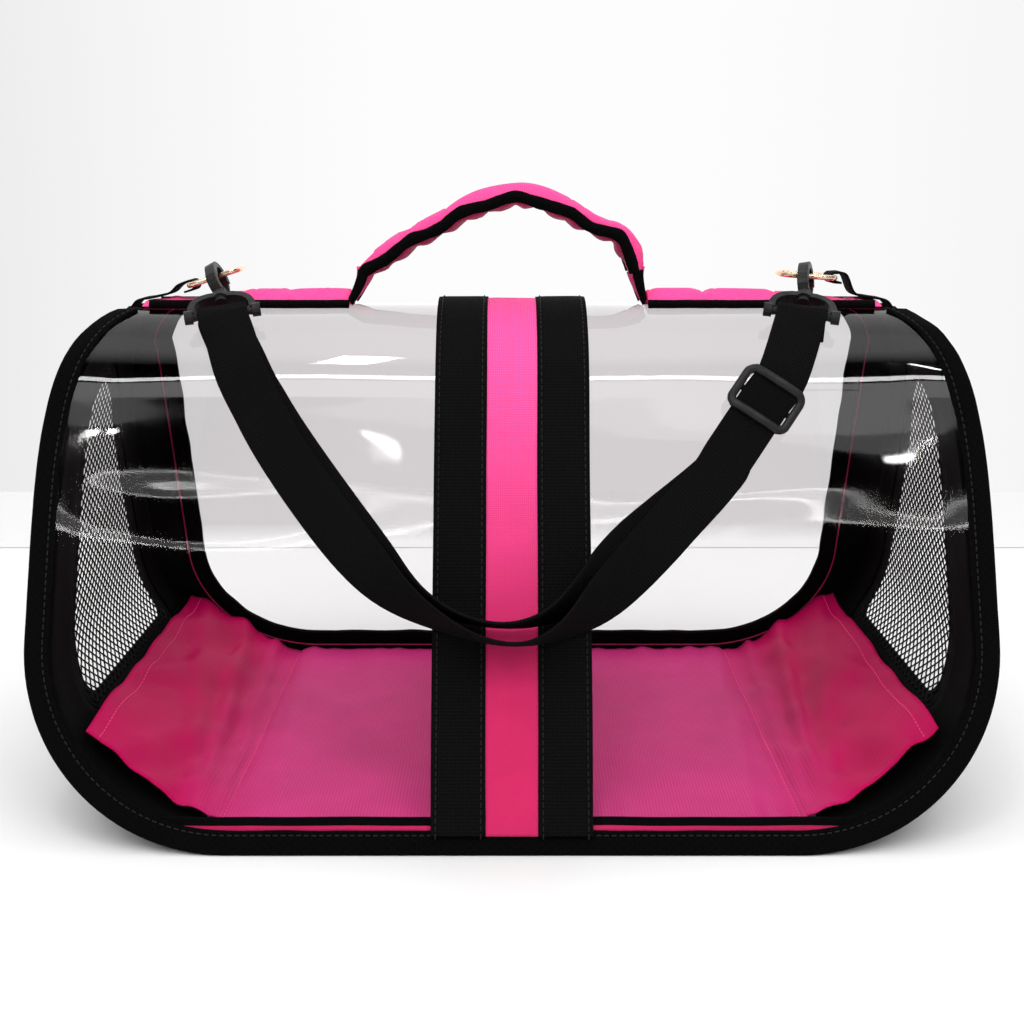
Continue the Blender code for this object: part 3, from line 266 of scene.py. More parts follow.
LOOKS = {
    "film": film_material("clear_film", (0.735, 0.715, 0.722, 1), 0.1375, 0.1455),
    "film_rear": film_material("clear_film_rear", (0.96, 0.96, 0.96, 1), 0.05, 0.2),
    "webbing": cloth_material("black_webbing", BLACK_DARK, (0.0042, 0.0041, 0.0041), plain_weave,
                              (0.0016, 0.0012), 0.00030, sheen=0.01, specular=0.06),
    "binding": cloth_material("binding_tape", BLACK_DARK, (0.0024, 0.0023, 0.0022), block_weave,
                              (0.0012, 0.0010), 0.00030, sheen=0.01, specular=0.05),
    "panel": cloth_material("panel_fabric", BLACK_DARK, BLACK_LIGHT, plain_weave, (0.0008, 0.0008), 0.00012,
                            sheen=0.01, specular=0.06),
    # low makes the band deeper towards the floor: painted shade.
    "band": cloth_material("pink_band", PINK_DARK, (0.90, 0.105, 0.36), plain_weave, (0.0009, 0.0009), 0.00016,
                           roughness=0.7, sheen=0.06, sheen_tint=(1.0, 0.4, 0.65), specular=0.15, blotch=0.08,
                           low=(0.52, 0.016, 0.100)),
    "pink": cloth_material("pink_fabric", PINK_DARK, PINK_LIGHT, plain_weave, (0.0009, 0.0009), 0.00016,
                           roughness=0.7, sheen=0.06, sheen_tint=(1.0, 0.4, 0.65), specular=0.15, blotch=0.08),
    # middle makes the satin paler between the folds: a painted sheen.
    "satin": cloth_material("pink_satin", (0.34, 0.0003, 0.050), (0.47, 0.0008, 0.084), satin_face,
                            (0.0016, 0.0007), 0.00006, roughness=0.50, sheen=0.03,
                            sheen_tint=(1.0, 0.35, 0.6), specular=0.07, blotch=0.14, fuzz=0.15,
                            middle=(0.60, 0.044, 0.235)),
    # The deep pink is the window piping's colour, and painted shade on the handle's underside.
    "lining": cloth_material("pink_lining", (0.30, 0.004, 0.05), (0.50, 0.012, 0.11), plain_weave,
                             (0.0007, 0.0007), 0.0001, roughness=0.6, sheen=0.1, sheen_tint=(1.0, 0.3, 0.5)),
    "mesh": cloth_material("mesh_thread", BLACK_DARK, (0.009, 0.009, 0.009), ribbed, (0.0008, 0.0006), 0.0001,
                           flat=False, sheen=0.02, specular=0.15),
    "zip_tape": cloth_material("zip_tape", BLACK_DARK, BLACK_LIGHT, plain_weave, (0.0007, 0.0010), 0.00015,
                               sheen=0.02, specular=0.12),
    "teeth": moulded_material("zip_teeth", (0.004, 0.004, 0.004), (0.012, 0.012, 0.012), 0.35),
    "thread": cloth_material("stitch_thread", (0.002, 0.002, 0.002), (0.012, 0.012, 0.0115), ribbed,
                             (0.0003, 0.0003), 0.00004, flat=False, roughness=0.6, sheen=0.02, specular=0.2),
    "pink_thread": cloth_material("pink_thread", PINK_DARK, PINK_LIGHT, ribbed, (0.0003, 0.0003), 0.00004,
                                  flat=False, roughness=0.55),
    "plastic": moulded_material("hook_plastic", (0.0050, 0.0049, 0.0051), (0.0105, 0.0103, 0.0107), 0.42),
    "gold": metal_material("ring_metal", (0.62, 0.42, 0.26), (0.93, 0.76, 0.58), 0.20),
    "black_metal": metal_material("black_metal", (0.008, 0.008, 0.008), (0.03, 0.03, 0.03), 0.32, 0.6),
    "board": board_material("base_board", (0.02, 0.02, 0.02), (0.05, 0.05, 0.05), 300.0, 0.0001),
    "foam": board_material("foam", (0.55, 0.55, 0.55), (0.80, 0.80, 0.80), 900.0, 0.0002),
}


# The cabin's surface, as in the part

def profile(s):
    """Half-width, height and outward normal of the cross-section at the distance s."""
    if s <= SLOPE_LENGTH:
        return HALF_DEPTH - s * sin(LEAN), s * cos(LEAN), cos(LEAN), sin(LEAN)
    angle = LEAN + (s - SLOPE_LENGTH) / RIDGE_RADIUS
    return RIDGE_RADIUS * cos(angle), RIDGE_CENTRE_Z + RIDGE_RADIUS * sin(angle), cos(angle), sin(angle)


def on_sheet(x, s, off, side=-1):
    if s > CREST:
        return on_sheet(x, 2 * CREST - s, off, -side)
    y, z, normal_y, normal_z = profile(s)
    return Vector((x, side * (y + off * normal_y), max(z + off * normal_z, 0.0)))


def half_height_line(z):
    return HALF_DEPTH - z * sin(LEAN) / cos(LEAN)


def half_height_inside(z, inset):
    radius = RIDGE_RADIUS - inset
    if z < RIDGE_CENTRE_Z + radius * sin(LEAN):
        return half_height_line(z) - inset / cos(LEAN)
    return sqrt(max(radius**2 - (z - RIDGE_CENTRE_Z) ** 2, 0))


def s_at_height(z):
    if z < SLOPE_LENGTH * cos(LEAN):
        return z / cos(LEAN)
    return SLOPE_LENGTH + RIDGE_RADIUS * (asin((z - RIDGE_CENTRE_Z) / RIDGE_RADIUS) - LEAN)


def half_outline(s, inset):
    """Half-length of the sheet's outline at s, drawn in by inset."""
    if s < CORNER_RADIUS:
        reach = CORNER_RADIUS - inset
        return CORNER_X + sqrt(max(reach**2 - (CORNER_RADIUS - s) ** 2, 0))
    if s < BARREL_START:
        return HALF_LENGTH - inset
    rise = (s - BARREL_START) / (CREST - BARREL_START)
    return HALF_LENGTH * sqrt(1 - BARREL_DROP * rise**BARREL_POWER) - inset


def spread(low, high, count):
    return [low + (high - low) * i / (count - 1) for i in range(count)]


def round_a_ring(count):
    """Angles of the points of a closed ring."""
    return spread(0, 2 * pi, count + 1)[:-1]


def part_way(a, b, t):
    return a[0] + (b[0] - a[0]) * t, a[1] + (b[1] - a[1]) * t


def outline_track(inset, top):
    """(x, s) points of the outline from the upper left, round the bottom, to the upper right."""
    reach = CORNER_RADIUS - inset
    right = [(x, inset) for x in spread(0.0, CORNER_X, FOOT_POINTS)[:-1]]
    right += [(CORNER_X + reach * cos(a), CORNER_RADIUS + reach * sin(a)) for a in spread(-pi / 2, 0, CORNER_POINTS)]
    right += [(half_outline(s, inset), s) for s in spread(CORNER_RADIUS, top, SIDE_POINTS)[1:]]
    return [(-x, s) for x, s in right[:0:-1]] + right


def window_half(s, inset):
    limit = min(WINDOW_HALF, half_outline(s, FLANGE) - WINDOW_TOP_BORDER) - inset
    centre = WINDOW_FROM + WINDOW_RADIUS
    if s >= centre:
        return limit
    reach = WINDOW_RADIUS - inset
    return WINDOW_HALF - WINDOW_RADIUS + sqrt(max(reach**2 - (centre - s) ** 2, 0))


def window_track(inset, top):
    """The window's outline, with as many points as outline_track gives."""
    centre, reach = WINDOW_FROM + WINDOW_RADIUS, WINDOW_RADIUS - inset
    straight = WINDOW_HALF - WINDOW_RADIUS
    right = [(x, WINDOW_FROM + inset) for x in spread(0.0, straight, FOOT_POINTS)[:-1]]
    right += [(straight + reach * cos(a), centre + reach * sin(a)) for a in spread(-pi / 2, 0, CORNER_POINTS)]
    right += [(window_half(s, inset), s) for s in spread(centre, top, SIDE_POINTS)[1:]]
    return [(-x, s) for x, s in right[:0:-1]] + right


def gusset(tau, across, off):
    """A point of an end panel: tau is the height on its seam, across is along Y."""
    here, above = half_outline(s_at_height(tau), FLANGE), half_outline(s_at_height(tau + 1e-4), FLANGE)
    slope = Vector((1e-4, 0, here - above)).normalized()
    return Vector((here, across, tau)) + slope * off


def arch_track(inset, low, corner_radius):
    """(y, z) of an arch parallel to the cross-section: up the front leg, over, down the rear leg."""
    radius = RIDGE_RADIUS - inset

    def leg(z):
        return half_height_line(z) - inset / cos(LEAN)

    foot_z = low + corner_radius
    track = [(leg(z), z) for z in spread(foot_z, RIDGE_CENTRE_Z + radius * sin(LEAN), SIDE_POINTS)]
    for angle in spread(LEAN, pi / 2, FOOT_POINTS)[1:]:
        track.append((radius * cos(angle), RIDGE_CENTRE_Z + radius * sin(angle)))
    centre = (leg(foot_z) - corner_radius, foot_z)
    bend = [(centre[0] + corner_radius * cos(a), centre[1] + corner_radius * sin(a))
            for a in spread(-pi / 2, -pi / 20, 9)]
    half = [(y, low) for y in spread(0.0, centre[0], 20)[:-1]] + bend + track
    return [(-y, z) for y, z in half] + [(y, z) for y, z in half[1:-1]][::-1]


def panel_rim(track):
    """The seam's points (y, z) that face each point of an arch track."""
    low, crest_z = BASE_TOP + 0.0012, RIDGE_CENTRE_Z + RIDGE_RADIUS - 0.0035
    heights = [z for _, z in track]
    arch_low, arch_high = min(heights), max(heights)
    foot = max(abs(y) for y, z in track if z < arch_low + 0.0005)
    rim = []
    for y, z in track:
        if z < arch_low + 0.0005:
            rim.append(((half_height_line(low) - FLANGE * 0.4) * y / foot * 0.94, low))
            continue
        height = low + (crest_z - low) * (z - arch_low) / (arch_high - arch_low)
        width = 0.0 if abs(y) < 1e-9 else half_height_inside(height, PANEL_RIM)
        rim.append((width if y > 0 else -width, height))
    return rim


# Mesh helpers

def bumpy(x, y, size, seed):
    """Smooth noise from -1 to 1 over a plane."""
    return noise.noise(Vector((x / size, y / size, seed)))


def measured(rows):
    """Each grid point's place on the cloth: u along the rows' order, v across from the middle."""
    middle = len(rows[0]) // 2
    flat, u = [], 0.0
    for i, row in enumerate(rows):
        if i:
            u += (row[middle] - rows[i - 1][middle]).length
        v = [0.0]
        for a, b in zip(row, row[1:]):
            v.append(v[-1] + (b - a).length)
        flat += [(u, w - v[middle]) for w in v]
    return flat


def tube_faces(start, rings, sides, capped=True):
    """Faces of a small tube whose rings of points follow each other from start."""
    faces = []
    for a in range(start, start + (rings - 1) * sides, sides):
        faces += [(a + k, a + (k + 1) % sides, a + sides + (k + 1) % sides, a + sides + k) for k in range(sides)]
    if capped:
        last = start + (rings - 1) * sides
        faces += [tuple(range(start, start + sides))[::-1], tuple(range(last, last + sides))]
    return faces


def new_piece(name, points, faces, flat, look, body, nodes=(), slot=None):
    mesh = bpy.data.meshes.new(name)
    mesh.from_pydata([tuple(p) for p in points], [], faces)
    if flat:
        place = mesh.attributes.new("flat", "FLOAT_VECTOR", "POINT")
        place.data.foreach_set("vector", [c for u, v in flat for c in (u, v, 0.0)])
    mesh.materials.append(LOOKS[look])
    mesh.shade_smooth()
    made = bpy.data.objects.new(name, mesh)
    bpy.context.scene.collection.objects.link(made)
    if body:
        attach(made, body)
    if nodes:
        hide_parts(*nodes)
    return made


def sheet(name, rows, look, body="bag", nodes=(), slot=None, thick=0.0, closed=False, around=False, flat=None):
    """Cloth through a grid of points. closed joins the last row to the first, around the last column."""
    rows = [[Vector(p) for p in row] for row in rows]
    count, columns = len(rows), len(rows[0])
    faces = []
    for i in range(count if closed else count - 1):
        a, b = i * columns, (i + 1) % count * columns
        for j in range(columns if around else columns - 1):
            k = (j + 1) % columns
            faces.append((a + j, a + k, b + k, b + j))
    if around and not closed:
        faces += [tuple(range(columns))[::-1], tuple(range((count - 1) * columns, count * columns))]
    points = [p for row in rows for p in row]
    made = new_piece(name, points, faces, flat or measured(rows), look, body, nodes, slot)
    if thick:
        shell = made.modifiers.new("Thickness", "SOLIDIFY")
        shell.thickness, shell.offset = thick, 0.0
        shell.use_even_offset = True
    if around:
        made.data.set_sharp_from_angle(angle=radians(50))
    return made


def stitches(name, tracks, look, slot, width=0.00042):
    """Rows of thread. A track is a list of (point, normal) close together along a seam."""
    length, pitch = 0.0026, 0.0036
    points, faces = [], []
    for track in tracks:
        travelled, due = 0.0, 0.0
        for (p, n), (q, _) in zip(track, track[1:]):
            step = (q - p).length
            if step < 1e-7:
                continue
            along = (q - p) / step
            while travelled + step >= due:
                middle = p + along * (due - travelled)
                across = along.cross(n).normalized()
                start = len(points)
                for t, size in ((-0.5, 0.55), (-0.3, 1.0), (0.3, 1.0), (0.5, 0.55)):
                    lift = n * (width * (0.55 if abs(t) < 0.4 else 0.05))
                    base = middle + along * length * t + lift
                    for k in range(5):
                        angle = 2 * pi * k / 5
                        points.append(base + (across * cos(angle) + n * sin(angle)) * width * size)
                faces += tube_faces(start, 4, 5)
                due += pitch
            travelled += step
    new_piece(name, points, faces, None, look, "bag", (), slot)


def keep_node(name, look, bevel=0.0004, rounds=2, subdivide=0):
    """A CAD node shown as it is, with softened edges and its own material."""
    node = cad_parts[name]
    node.data.materials.clear()
    node.data.materials.append(LOOKS[look])
    weld = node.modifiers.new("Weld", "WELD")
    weld.merge_threshold = 1e-6
    if bevel:
        soften = node.modifiers.new("Soften", "BEVEL")
        soften.width, soften.segments, soften.limit_method = bevel, rounds, "ANGLE"
        soften.angle_limit = radians(28)
        soften.use_clamp_overlap = True
    if subdivide:
        finer = node.modifiers.new("Finer", "SUBSURF")
        finer.levels = finer.render_levels = subdivide


# The shell

def film_off(x, s, seed, amount):
    """The film's soft ripples, calm at the centre band and at the seams."""
    calm = min(1.0, abs(abs(x) - 0.038) / 0.05) if abs(x) > 0.038 else 0.0
    edge = min(1.0, max(0.0, (half_outline(min(s, 2 * CREST - s), FLANGE) - abs(x)) / 0.02))
    foot = min(1.0, max(0.0, s - TAPE_TO) / 0.03)
    wide = bumpy(x, s * 2.4, 0.16, seed)
    tight = 0.35 * bumpy(x * 0.7, s * 3.0, 0.06, seed + 3.0)
    return amount * (wide + tight) * calm * edge * foot


def films():
    rows = []
    for s in spread(TAPE_TO - 0.003, CREST + FILM_OVER_RIDGE, 150):
        width = half_outline(min(s, 2 * CREST - s), FLANGE - 0.004)
        rows.append([on_sheet(t * width, s, FILM / 2 + film_off(t * width, s, 1.7, 0.0007))
                     for t in spread(-1, 1, 121)])
    sheet("film_front", rows, "film", nodes=("front_film",), slot="clear_film")
    rows = []
    for s in spread(WINDOW_FROM - 0.003, CREST - FILM_OVER_RIDGE, 110):
        width = window_half(max(s, WINDOW_FROM + 0.0004), -0.002)
        rows.append([on_sheet(t * width, s, FILM / 2 + film_off(t * width * 0.9, s, 8.2, 0.0007), 1)
                     for t in spread(-1, 1, 101)])
    sheet("film_rear", rows, "film_rear", nodes=("rear_film",), slot="clear_film")


def tape_section(low, high):
    """A tape folded round an edge: (share across, off), from its outer hem round the fold to the inner hem."""
    return [(1.0, high - 0.0003), (0.96, high), (0.84, high + 0.0001), (0.80, high - 0.0003),
            (0.76, high + 0.0001), (0.55, high + 0.0002), (0.30, high + 0.0001), (0.12, high),
            (0.03, high - 0.0006), (0.0, (low + high) / 2), (0.03, low + 0.0006), (0.12, low), (0.4, low),
            (0.76, low), (0.80, low + 0.0003), (0.84, low), (1.0, low + 0.0003)]


def folded_tape(name, outer, inner, low, high, place, nodes, waves, restless=None):
    """Tape along a seam. place turns (a, b, off) of the sheet into a point."""
    rows, section = [], tape_section(low, high)
    travelled = 0.0
    for i, (a, b) in enumerate(zip(outer, inner)):
        if i:
            travelled += Vector((a[0] - outer[i - 1][0], a[1] - outer[i - 1][1])).length
        wander = waves * (1.0 + (restless(a) if restless else 0.0))
        slip = wander * bumpy(travelled, 0.0, 0.018, 5.0) / max(Vector((b[0] - a[0], b[1] - a[1])).length, 1e-6)
        swell = wander * 0.5 * bumpy(travelled, 1.0, 0.013, 9.0)
        rows.append([place(*part_way(a, b, t + slip * t), off + swell) for t, off in section])
    sheet(name, rows, "binding", nodes=nodes, slot="binding_tape", around=True)


def seam_bindings():
    top = CREST - BINDING_STOP
    for name, side in (("front_binding", -1), ("rear_binding", 1)):
        def place(x, s, off, side=side):
            return on_sheet(x, max(s, 0.0), off, side)
        folded_tape("tape_" + name, outline_track(0.0, top), outline_track(FLANGE, top), -0.0012, 0.0018, place,
                    (name,), 0.00045, restless=lambda a: 1.6 * max(0.0, min((a[1] - 0.16) / 0.06, 1.0)))
        seam = outline_track(FLANGE * 0.80, top)
        tracks = []
        for off, turn in ((0.0016, 1), (-0.0010, -1)):
            track = []
            for x, s in seam:
                point = on_sheet(x, s, off, side)
                track.append((point, (on_sheet(x, s, off + 0.001 * turn, side) - point).normalized()))
            tracks.append(track)
        stitches(f"stitches_{name}", tracks, "thread", "binding_tape")


def rear_border():
    top = CREST - FILM_OVER_RIDGE - 0.0003
    outer, inner = outline_track(FLANGE - 0.004, top), window_track(-0.001, top)
    rows = []
    for a, b in zip(outer, inner):
        row = []
        for t in spread(0, 1, 9):
            x, s = part_way(a, b, t)
            puff = 0.0011 * sin(pi * t) * bumpy(x, s, 0.035, 2.0)
            row.append(on_sheet(x, s, FILM / 2 + puff, 1))
        rows.append(row)
    sheet("border_rear", rows, "panel", nodes=("rear_border",), slot="panel_fabric", thick=0.0009)
    binding_top = CREST - BINDING_STOP

    def place(x, s, off):
        return on_sheet(x, s, off, 1)

    folded_tape("tape_window", window_track(-0.0035, binding_top), window_track(0.0045, binding_top), -0.0009,
                FILM + 0.0016, place, ("rear_window_binding",), 0.0009)
    piping_rows = []
    track = window_track(-0.0052, binding_top)
    for i, (x, s) in enumerate(track):
        along = Vector(track[min(i + 1, len(track) - 1)]) - Vector(track[max(i - 1, 0)])
        across = Vector((-along.y, along.x)).normalized()
        piping_rows.append([on_sheet(x + across.x * 0.0004 * cos(a), s + across.y * 0.0004 * cos(a),
                                     -0.0012 + 0.0005 * sin(a), 1) for a in round_a_ring(8)])
    sheet("piping_window", piping_rows, "lining", slot="pink_satin", around=True)


def front_hem():
    """The ribbed tape on the front sheet's lower edge, and the pink strip under it."""
    for name, node, low, high, look, slot, high_off in (
        ("tape_front_edge", "front_edge_tape", TAPE_FROM, TAPE_TO, "binding", "binding_tape", 0.0012),
        ("strip_pink_base", "front_base_strip", RIM_BOTTOM, TAPE_FROM + 0.0006, "band", "pink_webbing", 0.0006),
    ):
        rows = []
        for x in spread(-1, 1, 261):
            row = []
            for t, off in ((0, 0.3), (0.12, 0.95), (0.5, 1.1), (0.88, 0.95), (1, 0.3), (0.9, -0.3), (0.1, -0.3)):
                s = low + (high - low) * t
                reach = half_outline(s, FLANGE - 0.001)
                wander = 0.00035 * bumpy(x * reach, 0.0, 0.03, 4.0)
                row.append(on_sheet(x * reach, s + wander, off * high_off, -1))
            rows.append(row)
        sheet(name, rows, look, nodes=(node,), slot=slot, around=True)


# The ends

def end_place(hand):
    def place(y, z, off):
        point = gusset(z, y, off)
        return Vector((hand * point.x, point.y, point.z))
    return place


def seam_flange(hand, y, z, share):
    """The panel's hem, turned out along the end seam and caught under its binding."""
    out = min(1.0, max(0.0, (z - BASE_TOP) / 0.004))
    x = half_outline(s_at_height(z), FLANGE * (1 - 0.62 * share * out) + 0.0004)
    wide = half_height_inside(z, PANEL_RIM - 0.0014 * share)
    limit = half_height_inside(z, PANEL_RIM)
    across = y * (wide / limit) if limit > 1e-6 else y
    lift = 0.0024 * share * (1 - abs(y) / limit) if z > RIDGE_CENTRE_Z and limit > 1e-6 else 0.0
    return Vector((hand * x, across, z + lift - (0.004 * share if out < 1.0 else 0.0)))


def end_panel(hand, suffix):
    place = end_place(hand)
    inner = arch_track(ZIP_INSET - ZIP_HALF - 0.0010, DOOR_BOTTOM - 0.0055, 0.0158)
    rim = panel_rim(inner)
    rows = []
    for a, b in zip(rim, inner):
        row = [seam_flange(hand, *a, share) for share in (1.0, 0.5)]
        for t in spread(0, 1, 13):
            y, z = part_way(a, b, t)
            row.append(place(y, z, -FABRIC / 2 + 0.0016 * sin(pi * t) * bumpy(y, z, 0.035, 3.0 + hand)))
        rows.append(row)
    sheet("panel_" + suffix, rows, "panel", nodes=("end_panel_" + suffix,), slot="panel_fabric", thick=0.0009,
          closed=True)


def zip_tapes(hand, suffix):
    """Woven tapes and coil teeth of the zip: the fixed half on the panel, the other half on the door."""
    place = end_place(hand)
    for name, node, body, edge, far in (
        ("track", "zip_track_", "bag", (ZIP_INSET - 0.0003, -0.0015, 0.013),
         (ZIP_INSET - ZIP_HALF - 0.0035, -0.008, 0.018)),
        ("door_tape", "door_tape_", "door_" + suffix, (ZIP_INSET + 0.0002, 0.0, 0.012),
         (ZIP_INSET + ZIP_HALF + 0.0040, 0.0085, 0.008)),
    ):
        near_track = arch_track(edge[0], DOOR_BOTTOM + edge[1], edge[2])
        far_track = arch_track(far[0], DOOR_BOTTOM + far[1], far[2])
        rows = [[place(*part_way(a, b, t), 0.0002 + 0.0003 * sin(pi * t)) for t in spread(0, 1, 5)]
                for a, b in zip(near_track, far_track)]
        sheet(f"zip_{name}_{suffix}", rows, "zip_tape", body, (node + suffix,), "zip_tape", thick=0.0007, closed=True)
        teeth(f"zip_teeth_{name}_{suffix}", near_track, far_track, place, body)


def teeth(name, near, far, place, body):
    """Coil teeth along the tape's edge."""
    points, faces = [], []
    pitch, travelled, due = 0.0017, 0.0, 0.0
    count = len(near)
    for i in range(count):
        a, b = near[i], near[(i + 1) % count]
        c = far[i]
        step = Vector((b[0] - a[0], b[1] - a[1])).length
        while step > 1e-6 and travelled + step >= due:
            t = (due - travelled) / step
            y, z = part_way(a, b, t)
            inward = Vector((c[0] - y, c[1] - z)).normalized()
            along = Vector((b[0] - a[0], b[1] - a[1])).normalized()
            start = len(points)
            for u, half, low, high in ((-0.0004, 0.00035, 0.0004, 0.0013), (0.0009, 0.00055, 0.0003, 0.0016),
                                       (0.0021, 0.00045, 0.0003, 0.0009)):
                for w, off in ((-half, low), (half, low), (half * 0.7, high), (-half * 0.7, high)):
                    points.append(place(y + inward.x * u + along.x * w, z + inward.y * u + along.y * w, off))
            faces += tube_faces(start, 3, 4)
            due += pitch
        travelled += step
    made = new_piece(name, points, faces, None, "teeth", body, (), "zip_tape")
    made.data.set_sharp_from_angle(angle=radians(40))


def door_mesh(hand, suffix):
    """Open knit with diamond holes, as real threads, inside the door's tape."""
    place = end_place(hand)
    low, high = DOOR_BOTTOM + 0.0045, RIDGE_CENTRE_Z + RIDGE_RADIUS - ZIP_INSET - ZIP_HALF - 0.0010
    inset = ZIP_INSET + ZIP_HALF + 0.0005
    pitch_y, pitch_z, radius = 0.0034, 0.0026, 0.00050

    def inside(y, z):
        if not low <= z <= high:
            return False
        reach = half_height_inside(z, inset)
        foot = low + 0.008
        if z < foot:
            reach -= 0.008 - sqrt(max(0.008**2 - (foot - z) ** 2, 0.0))
        return abs(y) <= reach

    points, faces = [], []

    def thread(y0, z0, y1, z1, lift):
        start = len(points)
        along = Vector((y1 - y0, z1 - z0)).normalized()
        for t, off in ((0.0, lift), (0.5, -lift), (1.0, lift)):
            y, z = y0 + (y1 - y0) * t, z0 + (z1 - z0) * t
            for a in (0.0, 2 * pi / 3, 4 * pi / 3):
                side = radius * cos(a)
                points.append(place(y - along.y * side, z + along.x * side, -0.0006 + off + radius * sin(a)))
        faces.extend(tube_faces(start, 3, 3, capped=False))

    rows = int((high - low) / pitch_z) + 1
    columns = int(HALF_DEPTH / pitch_y) + 1
    for j in range(rows):
        z0, z1 = low + j * pitch_z, low + (j + 1) * pitch_z
        for i in range(-columns, columns + 1):
            if (i + j) % 2:
                continue
            y0 = i * pitch_y
            for lean, lift in ((1, 0.00018), (-1, -0.00018)):
                y1 = y0 + lean * pitch_y
                if inside(y0, z0) and inside(y1, z1):
                    thread(y0, z0, y1, z1, lift)
    new_piece("knit_" + suffix, points, faces, None, "mesh", "door_" + suffix, ("door_mesh_" + suffix,),
              "mesh_fabric")


def slider_parts(suffix):
    keep_node("zip_slider_" + suffix, "black_metal")
    keep_node("zip_pull_" + suffix, "black_metal")


# Floor

def mat_line():
    """Half of the mat's line from the middle to the flap's end: (x, z)."""
    low = BASE_TOP + 0.0014
    line = [(x, low) for x in spread(0.0, 0.137, 60)[:-1]]
    line += [(0.137, low), (0.140, low + 0.0003), (0.143, low + 0.0009), (0.146, low + 0.0016),
             (0.149, low + 0.0028), (MAT_FOLD_X, MAT_FOLD_Z)]
    for t in spread(0, 1, 34)[1:]:
        line.append((MAT_FOLD_X + (MAT_FLAP_X - MAT_FOLD_X) * t,
                     MAT_FOLD_Z + (MAT_FLAP_Z - MAT_FOLD_Z) * t**1.1))
    return line


# Creases beside the mat's folds: distance from the middle, slant, half-width and height
MAT_CREASES = ((0.1460, 0.006, 0.0028, 0.0030), (0.1585, 0.012, 0.0045, 0.0036), (0.1740, 0.022, 0.0060, 0.0024),
               (0.1230, 0.008, 0.0060, 0.0014))


def mat_lift(x, y, reach):
    """Puckers from the seams, soft creases on the flaps and a fold line beside each flap."""
    to_edge = reach - abs(y)
    pucker = max(0.0, 1 - to_edge / 0.035) ** 1.5
    seam = 0.0022 * pucker * bumpy(x, 0.0, 0.010, 1.0 + (y > 0))
    flap = max(0.0, min((abs(x) - 0.125) / 0.03, 1.0))
    along = (y + 0.5 * abs(x)) if x < 0 else (y + 0.35 * abs(x))
    crease = 0.0040 * flap * bumpy(abs(x) * 2.0, along, 0.045, 3.0 + (x > 0))
    drag = 0.0028 * flap * bumpy((abs(x) + 0.35 * y) * 1.0, y * 0.25, 0.014, 7.0)
    plain = 0.0009 * bumpy(x, y, 0.07, 6.0) + 0.0005 * bumpy(x + 0.3 * y, y * 0.5, 0.022, 2.0)
    fold = -0.0010 * max(0.0, 1 - abs(abs(x) - 0.137) / 0.0022)
    pulled = 0.0
    for near, slant, width, height in MAT_CREASES:
        away = abs(x) - near - slant * y / 0.13 - 0.0015 * bumpy(y, near, 0.05, x > 0)
        pulled += height * 2.718 ** (-((away / width) ** 2))
    return seam + crease + drag + plain + fold + pulled


def floor_mat():
    half = mat_line()
    line = [(-x, z) for x, z in half[:0:-1]] + half
    rows = []
    for x, z in line:
        reach = half_height_line(z) - MAT_MARGIN
        lift_limit = 0.0 if abs(x) < 0.12 else 0.0012
        row = []
        for t in spread(-1, 1, 91):
            y = reach * t
            lift = mat_lift(x, y, reach)
            row.append((x, y, z + 0.0009 + max(lift, -0.0004 - lift_limit)))
        rows.append(row)
    mat = sheet("mat_floor", rows, "satin", nodes=("floor_mat",), slot="pink_satin", thick=0.0009)
    flat_length = 2 * sum((Vector(b) - Vector(a)).length for a, b in zip(half, half[1:]))
    widest = 2 * (half_height_line(BASE_TOP) - MAT_MARGIN)
    area = 0.0
    for (xa, za), (xb, zb) in zip(half, half[1:]):
        area += 2 * (Vector((xa, za)) - Vector((xb, zb))).length * 2 * (half_height_line((za + zb) / 2) - MAT_MARGIN)
    tracks = []
    for hand, _ in SIDES:
        for x in (MAT_FLAP_X - 0.0070, 0.1372):
            place = min(range(len(half)), key=lambda i: abs(half[i][0] - x))
            z = half[place][1]
            reach = half_height_line(z) - MAT_MARGIN
            track = []
            for t in spread(-0.97, 0.97, 160):
                lift = max(mat_lift(hand * half[place][0], reach * t, reach), -0.0016)
                track.append((Vector((hand * half[place][0], reach * t, z + 0.0014 + lift)), Vector((0, 0, 1))))
            tracks.append(track)
    stitches("stitches_mat", tracks, "pink_thread", "pink_satin", width=0.00028)


def base_parts():
    box_low, box_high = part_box("base_cover")
    rows = []
    for x in spread(box_low.x, box_high.x, 81):
        row = []
        for y in spread(box_low.y, box_high.y, 81):
            edge = min(box_high.x - abs(x), box_high.y - abs(y))
            sag = 0.00035 * bumpy(x, y, 0.04, 5.0) * min(1.0, edge / 0.02)
            row.append((x, y, 0.0006 + abs(sag)))
        rows.append(row)
    sheet("cover_base", rows, "panel", nodes=("base_cover",), slot="panel_fabric", thick=0.0011)
    keep_node("base_board", "board", bevel=0.0006)
    keep_node("base_foam", "foam", bevel=0.0012)


# Centre band

